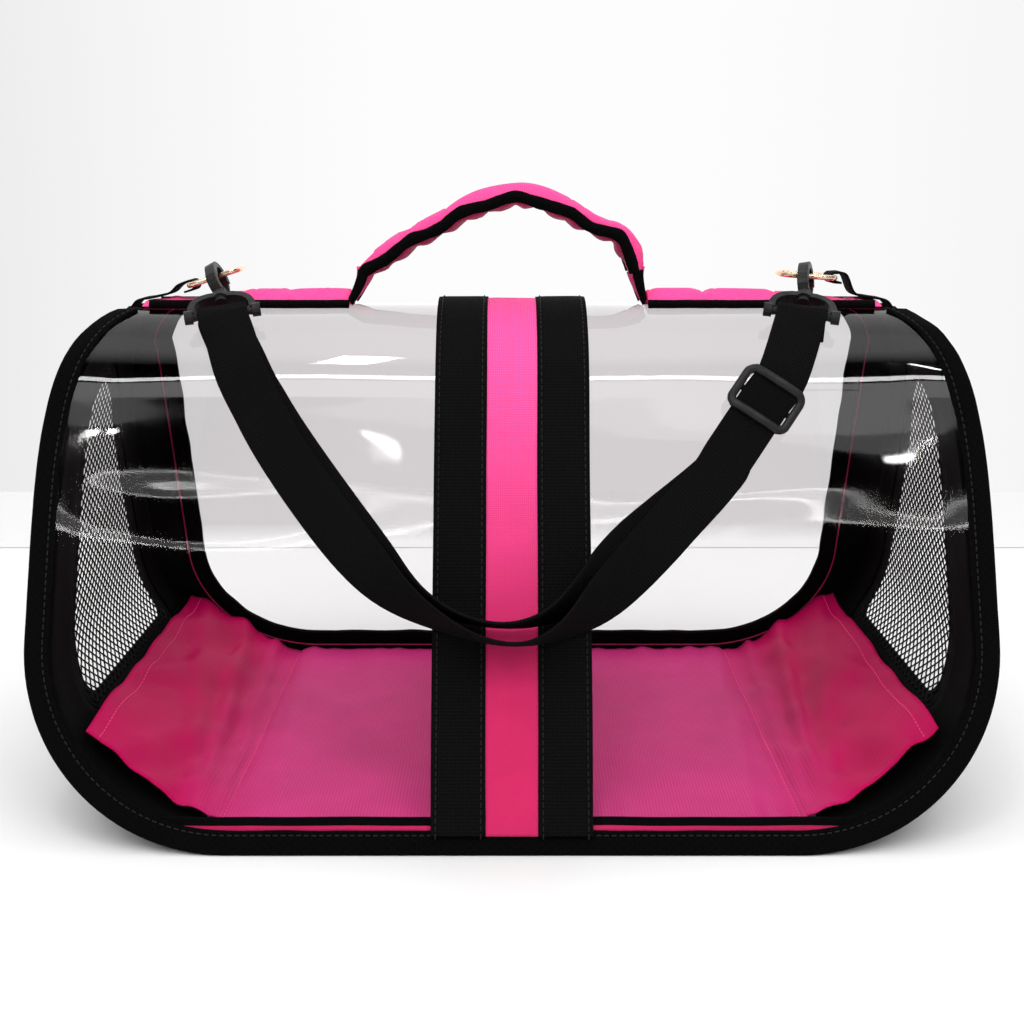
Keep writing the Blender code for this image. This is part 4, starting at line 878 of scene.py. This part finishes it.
def centre_band():
    stations = spread(RIM_BOTTOM - 0.001, 2 * CREST - RIM_BOTTOM + 0.001, 420)
    half_pink, edge = BAND_PINK / 2, BAND_PINK / 2 + WEBBING
    for name, node, x0, x1, low, look, slot in (
        ("band_black_left", "band_webbing_left", -edge, -half_pink + 0.0006, 0.0031, "webbing", "black_webbing"),
        ("band_pink_middle", "band_pink", -half_pink - 0.002, half_pink + 0.002, 0.0024, "band", "pink_webbing"),
        ("band_black_right", "band_webbing_right", half_pink - 0.0006, edge, 0.0031, "webbing", "black_webbing"),
    ):
        rows = []
        for s in stations:
            wander = 0.0004 * bumpy(s, x0, 0.07, 2.0)
            row = []
            for t in spread(0, 1, 13):
                x = x0 + (x1 - x0) * t + wander
                edge_drop = 0.0003 * (abs(2 * t - 1) ** 6)
                off = low + 0.0007 - edge_drop + 0.00025 * bumpy(x, s, 0.02, 4.0)
                row.append(on_sheet(x, s, off))
            rows.append(row)
        sheet(name, rows, look, nodes=(node,), slot=slot, thick=0.0011 if look == "webbing" else 0.0007)
    tracks = []
    for x in (-edge + 0.0022, -half_pink - 0.0016, half_pink + 0.0016, edge - 0.0022):
        track = []
        for s in stations:
            point = on_sheet(x, s, 0.0043)
            track.append((point, (on_sheet(x, s, 0.0053) - point).normalized()))
        tracks.append(track)
    stitches("stitches_band", tracks, "thread", "black_webbing", width=0.00034)


# Ridge pads and handle, filled by simulation

def swell(obj, pinned, pressure, frames, cap, shrink):
    """Cloth simulation that fills a closed cover. The seam's points stay put; no point moves past cap."""
    rest = [v.co.copy() for v in obj.data.vertices]
    group = obj.vertex_groups.new(name="seam")
    group.add(pinned, 1.0, "REPLACE")
    cloth = obj.modifiers.new("Fill", "CLOTH")
    settings = cloth.settings
    settings.quality = 6
    settings.mass = 0.15
    settings.tension_stiffness = settings.compression_stiffness = 12
    settings.bending_stiffness = 0.4
    settings.vertex_group_mass = "seam"
    settings.use_pressure = True
    settings.uniform_pressure_force = pressure
    settings.shrink_min = shrink
    settings.effector_weights.gravity = 0.0
    cloth.collision_settings.use_collision = False
    cloth.point_cache.frame_start, cloth.point_cache.frame_end = 1, frames
    scene = bpy.context.scene
    for number in range(1, frames + 1):
        scene.frame_set(number)
    graph = bpy.context.evaluated_depsgraph_get()
    filled = obj.evaluated_get(graph)
    moved = [v.co.copy() for v in filled.data.vertices]
    obj.modifiers.remove(cloth)
    scene.frame_set(1)
    for vertex, start, end in zip(obj.data.vertices, rest, moved):
        step = end - start
        if step.length > cap:
            step *= cap / step.length
        vertex.co = start + step
    obj.data.update()


def ridge_pad(hand, suffix, foot):
    """Padded strip from the handle's foot to the end of the ridge, thin under the strap's ring."""
    base = RIDGE_RADIUS + FILM + 0.0006
    heights = ((foot, 0.0060), (foot + 0.03, 0.0060), (0.140, 0.0054), (0.158, 0.0030), (0.178, 0.0020),
               (PAD_END, 0.0010))

    def height(x):
        for (x0, h0), (x1, h1) in zip(heights, heights[1:]):
            if x <= x1:
                return h0 + (h1 - h0) * (x - x0) / (x1 - x0)
        return heights[-1][1]

    rows, seam = [], []
    start = foot - (0.0040 if hand < 0 else 0.0028)
    stations = spread(start, PAD_END, 92)
    around = 26
    for i, x in enumerate(stations):
        for j in range(around):
            angle = 2 * pi * j / around
            y = PAD_HALF_WIDTH * cos(angle)
            over = max(sin(angle), 0.0)
            z = RIDGE_CENTRE_Z + sqrt(base**2 - y * y) + height(x) * over**0.7
            z += 0.0003 if sin(angle) < 0 else 0.0
            if j == 0:
                ring = []
            ring.append((hand * x, y, z))
            if over <= 0.26 or i in (0, len(stations) - 1):
                seam.append(i * around + j)
        rows.append(ring)
    pad = sheet("pad_ridge_" + suffix, rows, "pink", nodes=("ridge_pad_" + suffix,), slot="pink_satin", around=True)
    swell(pad, seam, 3.0, 14, 0.0016, -0.05)
    for place_name, side in (("front", -1), ("rear", 1)):
        rings = []
        for x in spread(start, PAD_END - 0.004, 110):
            wander = 0.0004 * bumpy(x, side, 0.012, 3.0)
            middle_y, lift = PAD_HALF_WIDTH + 0.0004 + wander, 0.0016
            z = RIDGE_CENTRE_Z + sqrt(base**2 - middle_y**2) + lift
            rings.append([(hand * x, side * (middle_y + 0.0024 * cos(a) * 0.9), z + 0.0021 * sin(a) - 0.0006 * cos(a))
                          for a in round_a_ring(12)])
        sheet(f"edging_ridge_{place_name}_{suffix}", rings, "binding",
              nodes=(f"ridge_edging_{place_name}_{suffix}",), slot="binding_tape", around=True)


HANDLE_ROUTE = ((-0.0772, 0.2625), (-0.0735, 0.2655), (-0.0640, 0.2725), (-0.0545, 0.2780),
                (-0.0350, 0.2885), (-0.0155, 0.2978), (0.0040, 0.3012), (0.0160, 0.2993), (0.0290, 0.2935),
                (0.0430, 0.2868), (0.0550, 0.2815), (0.0610, 0.2745), (0.0638, 0.2685), (0.0650, 0.2625))


def between(p0, p1, p2, p3, t):
    """A Catmull-Rom curve's point at the share t of the way from p1 to p2."""
    return 0.5 * (2 * p1 + (p2 - p0) * t + (2 * p0 - 5 * p1 + 4 * p2 - p3) * t**2 + (3 * p1 - p0 - 3 * p2 + p3) * t**3)


def smooth_line(points, count):
    """Points evenly spaced on a Catmull-Rom curve through the given ones."""
    points = [Vector(p) for p in points]
    fine = []
    for i in range(len(points) - 1):
        p0, p1, p2, p3 = points[max(i - 1, 0)], points[i], points[i + 1], points[min(i + 2, len(points) - 1)]
        fine += [between(p0, p1, p2, p3, step / 12) for step in range(12)]
    fine.append(points[-1])
    lengths = [0.0]
    for a, b in zip(fine, fine[1:]):
        lengths.append(lengths[-1] + (b - a).length)
    even, at = [], 0
    for i in range(count):
        target = lengths[-1] * i / (count - 1)
        while at < len(fine) - 2 and lengths[at + 1] < target:
            at += 1
        share = (target - lengths[at]) / max(lengths[at + 1] - lengths[at], 1e-9)
        even.append(fine[at].lerp(fine[at + 1], share))
    return even


def handle_frames(count):
    """Point and outward normal along the handle's middle line."""
    line = smooth_line([(x, 0, z) for x, z in HANDLE_ROUTE], count)
    frames = []
    for i, point in enumerate(line):
        along = (line[min(i + 1, count - 1)] - line[max(i - 1, 0)]).normalized()
        frames.append((point, Vector((-along.z, 0, along.x))))
    return frames


def handle():
    """Padded cover with sewn puckers below, and a fat black edging on each side."""
    frames = handle_frames(190)
    half, thick = HANDLE_WIDTH / 2, HANDLE_THICK / 2
    around, rows, seam = 36, [], []
    for i, (point, normal) in enumerate(frames):
        u = i * 0.001
        pucker = 0.5 + 0.5 * cos(2 * pi * (u + 0.004 * bumpy(u, 0.0, 0.02, 1.0)) / 0.0165)
        end = min(1.0, min(i, len(frames) - 1 - i) / 12)
        ring = []
        for j in range(around):
            angle = 2 * pi * j / around
            y = half * cos(angle) * (1 - 0.02 * pucker)
            swell_out = sin(angle)
            depth = thick * abs(swell_out) ** 0.75 * (1 if swell_out > 0 else -1)
            if swell_out < 0:
                depth *= (0.86 + 0.26 * (1 - pucker) * end)
            ring.append(point + Vector((0, y, 0)) + normal * depth * (0.6 + 0.4 * end))
            if abs(swell_out) < 0.2 or i in (0, len(frames) - 1):
                seam.append(i * around + j)
        rows.append(ring)
    cover = sheet("cover_handle", rows, "pink", "handle", ("handle_cover", "handle_core"), "pink_satin", around=True)
    # The underside faces get the deeper pink: painted shade.
    cover.data.materials.append(LOOKS["lining"])
    for face in cover.data.polygons:
        ring_at = sum(v % around for v in face.vertices) / len(face.vertices)
        if around * 0.52 < ring_at < around - 1.5:
            face.material_index = 1
    swell(cover, seam, 2.0, 12, 0.0010, -0.02)
    for name, side in (("front", -1), ("rear", 1)):
        rings = []
        for i, (point, normal) in enumerate(frames):
            u = i * 0.001
            pucker = cos(2 * pi * (u + 0.004 * bumpy(u, 0.0, 0.02, 1.0)) / 0.033)
            centre = point + Vector((0, side * (half + 0.0006), 0)) + normal * (-0.0012 + 0.0010 * pucker)
            fat = 0.0031 + 0.0006 * bumpy(u, 2.0, 0.008, 3.0)
            rings.append([centre + Vector((0, side * 0.0019 * cos(a), 0)) + normal * fat * sin(a)
                          for a in round_a_ring(14)])
        sheet("edging_handle_" + name, rings, "binding", "handle", (f"handle_edging_{name}",), "binding_tape",
              around=True)


def handle_feet():
    """The handle's ends, sewn down to the ridge: the cover runs out flat, with its edging on both sides."""
    top_z, low_z = 0.2632, 0.2474
    for suffix, x_top, x_low, outward in (("left", -0.0768, -0.0838, -1), ("right", 0.0650, 0.0688, 1)):
        rows, edges = [], {-1: [], 1: []}
        for i, t in enumerate(spread(0, 1, 16)):
            bend = t**1.4
            x, z = x_top + (x_low - x_top) * bend, top_z + (low_z - top_z) * t
            out = Vector((outward * cos(radians(20 + 40 * t)), 0, sin(radians(20 + 40 * t))))
            thick = 0.0036 * (1 - t) + 0.0014
            rows.append([Vector((x, (HANDLE_WIDTH / 2 - 0.0006) * cos(a), z)) + out * thick * sin(a)
                         for a in round_a_ring(24)])
            fat = 0.0030 - 0.0008 * t
            for side in (-1, 1):
                centre = Vector((x, side * (HANDLE_WIDTH / 2 + 0.0006), z))
                edges[side].append([centre + Vector((0, 0.0018 * cos(a), 0)) + out * fat * sin(a)
                                    for a in round_a_ring(12)])
        foot = sheet("foot_handle_" + suffix, rows, "pink", None, nodes=("handle_tab_" + suffix,), slot="pink_satin",
                     around=True)
        front = sheet("edging_foot_front_" + suffix, edges[-1], "binding", None, slot="binding_tape", around=True)
        rear = sheet("edging_foot_rear_" + suffix, edges[1], "binding", None, slot="binding_tape", around=True)
        for piece in (foot, front, rear):
            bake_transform(piece)


# Rings, hooks and strap

def tilt_of(hand):
    return radians(18) if hand < 0 else radians(4)


def ring_tab(hand, suffix):
    """Webbing from the end seam, folded round the ring's bar."""
    tilt, bar_x, wire = tilt_of(hand), 0.168, 0.0015
    bar_z = HOOK_Z - (bar_x - HOOK_X) * sin(tilt) / cos(tilt)
    bar = Vector((hand * bar_x, 0, bar_z))
    inwards, up = Vector((-hand * cos(tilt), 0, sin(tilt))), Vector((hand * sin(tilt), 0, cos(tilt)))
    radius = wire + CLEAR + 0.0006
    fall = ((0.1790, 0.2515), (0.1880, 0.2492), (0.1955, 0.2478), (0.1990, 0.2440))
    down = [Vector((hand * x, 0, z)) for x, z in fall]
    line = [bar - inwards * 0.004 - up * radius]
    line += [bar + (inwards * cos(a) + up * sin(a)) * radius for a in spread(-pi / 2, pi / 2, 16)]
    line += [bar - inwards * 0.006 + up * (radius - 0.0004)] + down
    line = smooth_line(line, 56)
    rows = [[p + Vector((0, 0.0082 * t, 0.0)) for t in spread(-1, 1, 11)] for p in line]
    sheet("tab_ring_" + suffix, rows, "webbing", nodes=("ring_tab_" + suffix,), slot="black_webbing", thick=0.0011)


def fittings(suffix):
    keep_node("d_ring_" + suffix, "gold", bevel=0.0, subdivide=1)
    keep_node("hook_" + suffix, "plastic", bevel=0.0006, rounds=3)
    keep_node("hook_gate_" + suffix, "plastic")
    keep_node("swivel_base_" + suffix, "plastic", bevel=0.0006, rounds=3)


LEFT_OUTER = ((-0.1388, 0.2245, 0.0105, 38), (-0.1325, 0.2110, 0.0090, 27), (-0.1191, 0.1862, 0.0080, 22.7),
              (-0.1052, 0.1667, 0.0085, 22.7), (-0.0865, 0.1444, 0.0105, 14), (-0.0714, 0.1250, 0.0130, -5),
              (-0.0560, 0.1115, 0.0165, -32), (-0.0338, 0.0972, 0.0192, -58))
CENTRE_LOWER = ((-0.0094, 0.0893, 0.0196, -72), (0.0037, 0.0885, 0.0196, -74), (0.0183, 0.0915, 0.0194, -66),
                (0.0339, 0.1010, 0.0180, -40), (0.0512, 0.1160, 0.0150, -8), (0.0690, 0.1350, 0.0135, 14))
LEFT_INNER = ((-0.1345, 0.2190, 0.0045, 34), (-0.1240, 0.2010, 0.0042, 22.7), (-0.1115, 0.1830, 0.0042, 22.7),
              (-0.0943, 0.1616, 0.0048, 20), (-0.0769, 0.1390, 0.0080, 8), (-0.0620, 0.1225, 0.0118, -20),
              (-0.0440, 0.1085, 0.0172, -50), (-0.0240, 0.0995, 0.0190, -68))
CENTRE_UPPER = ((-0.0033, 0.0960, 0.0194, -74), (0.0130, 0.0985, 0.0190, -66), (0.0290, 0.1075, 0.0168, -40),
                (0.0450, 0.1205, 0.0118, -8), (0.0610, 0.1365, 0.0085, 14))
ADJUSTER_X, ADJUSTER_Z, ADJUSTER_OFF = 0.1236, 0.2000, 0.0118
STRAIGHT_LOW, STRAIGHT_HIGH = 0.062, 0.016


def strap_direction():
    return Vector((0.559, 0.829 * sin(LEAN), 0.829 * cos(LEAN))).normalized()


def adjuster_centre():
    slope_y = -(half_height_line(ADJUSTER_Z) + ADJUSTER_OFF * cos(LEAN))
    return Vector((ADJUSTER_X, slope_y, ADJUSTER_Z + ADJUSTER_OFF * sin(LEAN)))


def facing(elevation):
    angle = radians(elevation)
    return Vector((0, -cos(angle), sin(angle)))


def route_points(route):
    return [(on_sheet(x, s_at_height(z), off), facing(turn)) for x, z, off, turn in route]


def straight_points(low, high, count, shift):
    centre, along, normal = adjuster_centre(), strap_direction(), facing(degrees(LEAN))
    return [(centre + along * t + normal * shift, normal) for t in spread(low, high, count)]


def wrap_points(hand, reverse=False):
    """Round the bar of a swivel base, from the webbing's inner side over to its outer side."""
    wire = Vector((hand * HOOK_X, HOOK_Y, HOOK_Z))
    down = Vector((-hand * 0.22, -0.85, -0.53)).normalized()
    bar = (Vector((1, 0, 0)) - down * down.x).normalized()
    out = down.cross(bar)
    eye = wire + down * BAR_DISTANCE
    radius = BAR_RADIUS + CLEAR + WEBBING_THICK / 2 + 0.0002
    points = []
    for a in spread(0, pi, 9):
        spoke = -out * cos(a) - down * sin(a)
        points.append((eye + spoke * radius, spoke))
    points = [(eye - out * radius + down * 0.006, -out)] + points + [(eye + out * radius + down * 0.006, out)]
    if reverse:
        points = points[::-1]
        points.append((points[-1][0] + down * 0.010, points[-1][1]))
    return points


def smooth_stations(stations, steps):
    """Stations with others between them, on a Catmull-Rom curve."""
    result = []
    for i in range(len(stations) - 1):
        p0, p1 = stations[max(i - 1, 0)][0], stations[i][0]
        p2, p3 = stations[i + 1][0], stations[min(i + 2, len(stations) - 1)][0]
        for step in range(steps):
            t = step / steps
            result.append((between(p0, p1, p2, p3, t), stations[i][1].lerp(stations[i + 1][1], t).normalized()))
    return result + [stations[-1]]


def eased_stations(stations, reach, below):
    """Takes the corners out of the hanging runs. below holds the heights, left and right, where easing begins."""
    result = []
    for i, (point, face) in enumerate(stations):
        limit = below[0] if point.x < 0 else below[1]
        span = min(reach, i, len(stations) - 1 - i, max(0, int((limit - point.z) / 0.0025)))
        near = stations[i - span:i + span + 1]
        middle = sum((p for p, _ in near), Vector()) / len(near)
        turned = sum((n for _, n in near), Vector()) / len(near)
        result.append((middle, turned.normalized()))
    return result


def webbing(name, stations, body, nodes, thick=WEBBING_THICK):
    """Flat webbing through (point, face direction) stations, with rounded selvages."""
    section = ((-1.0, 0.0), (-0.985, 0.32), (-0.93, 0.46), (-0.7, 0.5), (-0.35, 0.5), (0.0, 0.5), (0.35, 0.5),
               (0.7, 0.5), (0.93, 0.46), (0.985, 0.32), (1.0, 0.0), (0.985, -0.32), (0.93, -0.46), (0.7, -0.5),
               (0.35, -0.5), (0.0, -0.5), (-0.35, -0.5), (-0.7, -0.5), (-0.93, -0.46), (-0.985, -0.32))
    half, rows, flat, travelled = WEBBING / 2, [], [], 0.0
    for i, (point, face) in enumerate(stations):
        before, after = stations[max(i - 1, 0)][0], stations[min(i + 1, len(stations) - 1)][0]
        travelled += (point - before).length
        along = (after - before).normalized()
        normal = (face - along * face.dot(along)).normalized()
        across = along.cross(normal)
        rows.append([point + across * half * a + normal * thick * n for a, n in section])
        flat += [(travelled, half * a) for a, _ in section]
    sheet(name, rows, "webbing", body, nodes, "black_webbing", around=True, flat=flat)


def shoulder_strap():
    def turned(stations):
        return [(point, -face) for point, face in stations]

    inner_left = turned(route_points(LEFT_INNER))[::-1]
    upper = turned(route_points(CENTRE_UPPER))[::-1]
    running = straight_points(-STRAIGHT_LOW + 0.012, STRAIGHT_HIGH, 5, 0.0)
    up_to_left = upper[1:] + inner_left + wrap_points(-1)
    down_from_left = route_points(LEFT_OUTER) + route_points(CENTRE_LOWER) + running
    stations = smooth_stations(up_to_left + down_from_left + wrap_points(1, reverse=True), 5)
    stations = eased_stations(stations, 6, (HOOK_Z - 0.042, ADJUSTER_Z - 0.045))
    webbing("strap_long", stations, "strap", ("strap_webbing",))
    tail = [upper[1]] + [upper[0]] + turned(straight_points(-STRAIGHT_LOW + 0.016, -0.0190, 3, -0.0048))
    tail[0] = (tail[0][0].lerp(tail[1][0], -0.06), tail[0][1])
    webbing("strap_tail_end", smooth_stations(tail, 5), "strap", ("strap_tail",))
    keeper()
    slide()


def slide():
    """The strap's adjuster: a bowed frame with rounded corners, and the bar behind the webbing."""
    centre, along, normal = adjuster_centre(), strap_direction(), facing(degrees(LEAN))
    across = along.cross(normal)
    reach, length, bend = 0.0151, 0.0104, 0.0042
    track = []
    for u, v, start in ((1, 1, 0), (-1, 1, pi / 2), (-1, -1, pi), (1, -1, 3 * pi / 2)):
        for a in spread(start, start + pi / 2, 8):
            track.append((u * (reach - bend) + bend * cos(a), v * (length - bend) + bend * sin(a)))
    track = [(b[0], b[1]) for b in smooth_line([(u, v, 0) for u, v in track + track[:1]], 72)[:-1]]
    rows = []
    for i, (u, v) in enumerate(track):
        before, after = Vector(track[i - 1]), Vector(track[(i + 1) % len(track)])
        run = (after - before).normalized()
        outward = across * run.y - along * run.x
        bow = 0.0024 - 0.0030 * (abs(u) / reach) ** 4
        deep = 0.0014 + 0.0014 * (abs(u) / reach) ** 6
        middle = centre + across * u + along * v + normal * bow
        ring = []
        for a in round_a_ring(16):
            flat_side, front = abs(cos(a)) ** 0.6, abs(sin(a)) ** 0.6
            ring.append(middle + outward * 0.0021 * (flat_side if cos(a) > 0 else -flat_side)
                        + normal * deep * (front if sin(a) > 0 else -front))
        rows.append(ring)
    sheet("slide_frame", rows, "plastic", "adjuster", ("strap_adjuster",), "hook_plastic", closed=True, around=True)
    bar = [[centre + across * u + along * 0.0016 * cos(a) + normal * (-0.0036 + 0.0010 * sin(a))
            for a in round_a_ring(16)] for u in spread(-reach + 0.0006, reach - 0.0006, 9)]
    sheet("slide_bar", bar, "plastic", "adjuster", slot="hook_plastic", around=True)


def keeper():
    """The strap's sewn end round the adjuster's middle bar."""
    centre, along, normal = adjuster_centre(), strap_direction(), facing(degrees(LEAN))
    thick = 0.0012
    near, far = -0.0011 - thick / 2, -0.0048 - CLEAR - thick / 2
    path = [(-0.0150, near), (-0.0080, near), (0.0006, near), (0.0030, (near * 3 + far) / 4),
            (0.0036, (near + far) / 2), (0.0030, (near + far * 3) / 4), (0.0006, far), (-0.0080, far),
            (-0.0150, far)]
    facings = [(0, 1), (0, 1), (0, 1), (0.7, 0.7), (1, 0), (0.7, -0.7), (0, -1), (0, -1), (0, -1)]
    stations = [(centre + along * d + normal * n, (along * u + normal * v).normalized())
                for (d, n), (u, v) in zip(path, facings)]
    webbing("strap_keeper_loop", smooth_stations(stations, 3), "adjuster", ("strap_keeper",), thick=thick)


# Camera, floor and light

def camera_and_stage():
    scene = bpy.context.scene
    data = bpy.data.cameras.new("camera")
    data.lens, data.sensor_width = CAMERA_LENS, 36.0
    camera = bpy.data.objects.new("camera", data)
    camera.location = CAMERA_AT
    camera.rotation_euler = (pi / 2 - CAMERA_DOWN, 0, 0)
    scene.collection.objects.link(camera)
    scene.camera = camera
    scene.view_settings.view_transform = "Standard"

    for name, near, far, z, tone in (("floor", -3.2, FLOOR_END, 0.0, 0.66),
                                     ("floor_strip", STRIP_FROM, FLOOR_END, 0.0004, 0.64)):
        mesh = bpy.data.meshes.new(name)
        corners = [(-3.2, near, z), (3.2, near, z), (3.2, far, z), (-3.2, far, z)]
        mesh.from_pydata(corners, [], [(0, 1, 2, 3)])
        made, tree, where = new_material("paper_" + name)
        grain = stretched(tree, cloud(tree, where, 3.0), 0.3, 0.7, tone - 0.01, tone + 0.01)
        shader = add(tree, "ShaderNodeBsdfPrincipled", {"Base Color": grain, "Roughness": 0.6,
                                                        "Specular IOR Level": 0.2})
        surface(tree, shader.outputs[0])
        mesh.materials.append(made)
        sheet_object = bpy.data.objects.new(name, mesh)
        scene.collection.objects.link(sheet_object)


def area_light(name, at, towards, size, power, glossy):
    data = bpy.data.lights.new(name, "AREA")
    data.shape, data.size, data.size_y, data.energy = "RECTANGLE", size[0], size[1], power
    made = bpy.data.objects.new(name, data)
    made.location = at
    made.rotation_euler = (Vector(towards) - Vector(at)).to_track_quat("-Z", "Y").to_euler()
    made.visible_glossy = glossy
    bpy.context.scene.collection.objects.link(made)


def glow(name, at, towards, size, radiance):
    """A lamp that the film mirrors, as bright as asked for whatever its size."""
    area_light(name, at, towards, size, radiance * pi * size[0] * size[1], True)


def mirrored_from(x, s):
    """Where a lamp hangs so that the camera sees it mirrored at (x, s) of the front film."""
    point = on_sheet(x, s, FILM)
    normal = (on_sheet(x, s, 1.0) - on_sheet(x, s, 0.0)).normalized()
    ray = (point - CAMERA_AT).normalized()
    away = ray - 2 * ray.dot(normal) * normal
    return point + away * LAMP_DISTANCE, point


def lights():
    world = bpy.data.worlds.new("studio")
    bpy.context.scene.world = world
    world.use_nodes = True
    tree = world.node_tree
    tree.nodes.clear()
    path = add(tree, "ShaderNodeLightPath")
    direction = add(tree, "ShaderNodeTexCoord").outputs["Generated"]
    sideways, behind, rise = add(tree, "ShaderNodeSeparateXYZ", {0: direction}).outputs
    roof = stretched(tree, rise, sin(radians(63)), sin(radians(74)), 0.0, 1.5)
    front_wall = stretched(tree, rise, 0.20, 0.28, 0.75, 0.0)
    walls = maths(tree, "MAXIMUM", front_wall, stretched(tree, behind, 0.0, 0.1, 0.0, 1.3))
    reflected = maths(tree, "MAXIMUM", roof, walls)
    mirrored = add(tree, "ShaderNodeBackground", {"Color": (1, 1, 1, 1), "Strength": reflected})
    fall = maths(tree, "MULTIPLY", sideways, stretched(tree, sideways, -0.05, 0.05, -1.35, -0.63))
    backdrop = maths(tree, "MAXIMUM", maths(tree, "MULTIPLY_ADD", fall, sideways, 0.985), 0.84)
    seen = add(tree, "ShaderNodeBackground", {"Color": (1, 1, 1, 1), "Strength": backdrop})
    lit = add(tree, "ShaderNodeBackground", {"Color": (1, 1, 1, 1), "Strength": 0.42})
    unseen = add(tree, "ShaderNodeMixShader", {0: path.outputs["Is Glossy Ray"], 1: lit.outputs[0],
                                               2: mirrored.outputs[0]})
    mix = add(tree, "ShaderNodeMixShader", {0: path.outputs["Is Camera Ray"], 1: unseen.outputs[0],
                                            2: seen.outputs[0]})
    add(tree, "ShaderNodeOutputWorld", {"Surface": mix.outputs[0]})
    area_light("overhead", (0, 0.1, 2.2), (0, 0, 0), (2.6, 2.2), 38, False)
    area_light("front_fill", (0.2, -2.2, 1.5), (0, 0, 0.12), (2.2, 1.4), 21, False)
    area_light("behind", (0, 2.4, 1.6), (0, 0, 0.1), (2.6, 1.4), 18, False)
    for name, s_high, s_low, radiance in (
        ("line_top", 0.2318, 0.2298, 14.0), ("veil_top", 0.2290, 0.2190, 2.4), ("veil_middle", 0.2190, 0.2060, 1.2),
        ("line_middle", 0.1703, 0.1688, 9.0), ("veil_low", 0.1688, 0.1588, 0.9), ("line_low", 0.1588, 0.1570, 12.0),
    ):
        high, _ = mirrored_from(0.0, s_high)
        low, _ = mirrored_from(0.0, s_low)
        _, aim = mirrored_from(0.0, (s_high + s_low) / 2)
        glow(name, (high + low) / 2, aim, (3.4, (high - low).length), radiance)
    for name, x, s, width, height, radiance in (
        ("lamp_a", -0.0732, 0.2398, 0.11, 0.30, 30.0), ("lamp_b", -0.0696, 0.1929, 0.060, 0.017, 30.0),
        ("lamp_c", -0.2102, 0.1979, 0.025, 0.025, 45.0), ("lamp_d", -0.1959, 0.1970, 0.025, 0.025, 45.0),
        ("lamp_e", 0.1968, 0.2364, 0.025, 0.20, 45.0), ("lamp_f", 0.1966, 0.2015, 0.045, 0.020, 45.0),
    ):
        at, aim = mirrored_from(x, s)
        glow(name, at, aim, (width, height), radiance)


# Build

camera_and_stage()
lights()
films()
seam_bindings()
rear_border()
front_hem()
floor_mat()
base_parts()
centre_band()
handle()
handle_feet()
for hand, suffix in SIDES:
    ridge_pad(hand, suffix, abs(FOOT_LEFT) if hand < 0 else FOOT_RIGHT)
    end_panel(hand, suffix)
    zip_tapes(hand, suffix)
    door_mesh(hand, suffix)
    slider_parts(suffix)
    ring_tab(hand, suffix)
    fittings(suffix)
shoulder_strap()
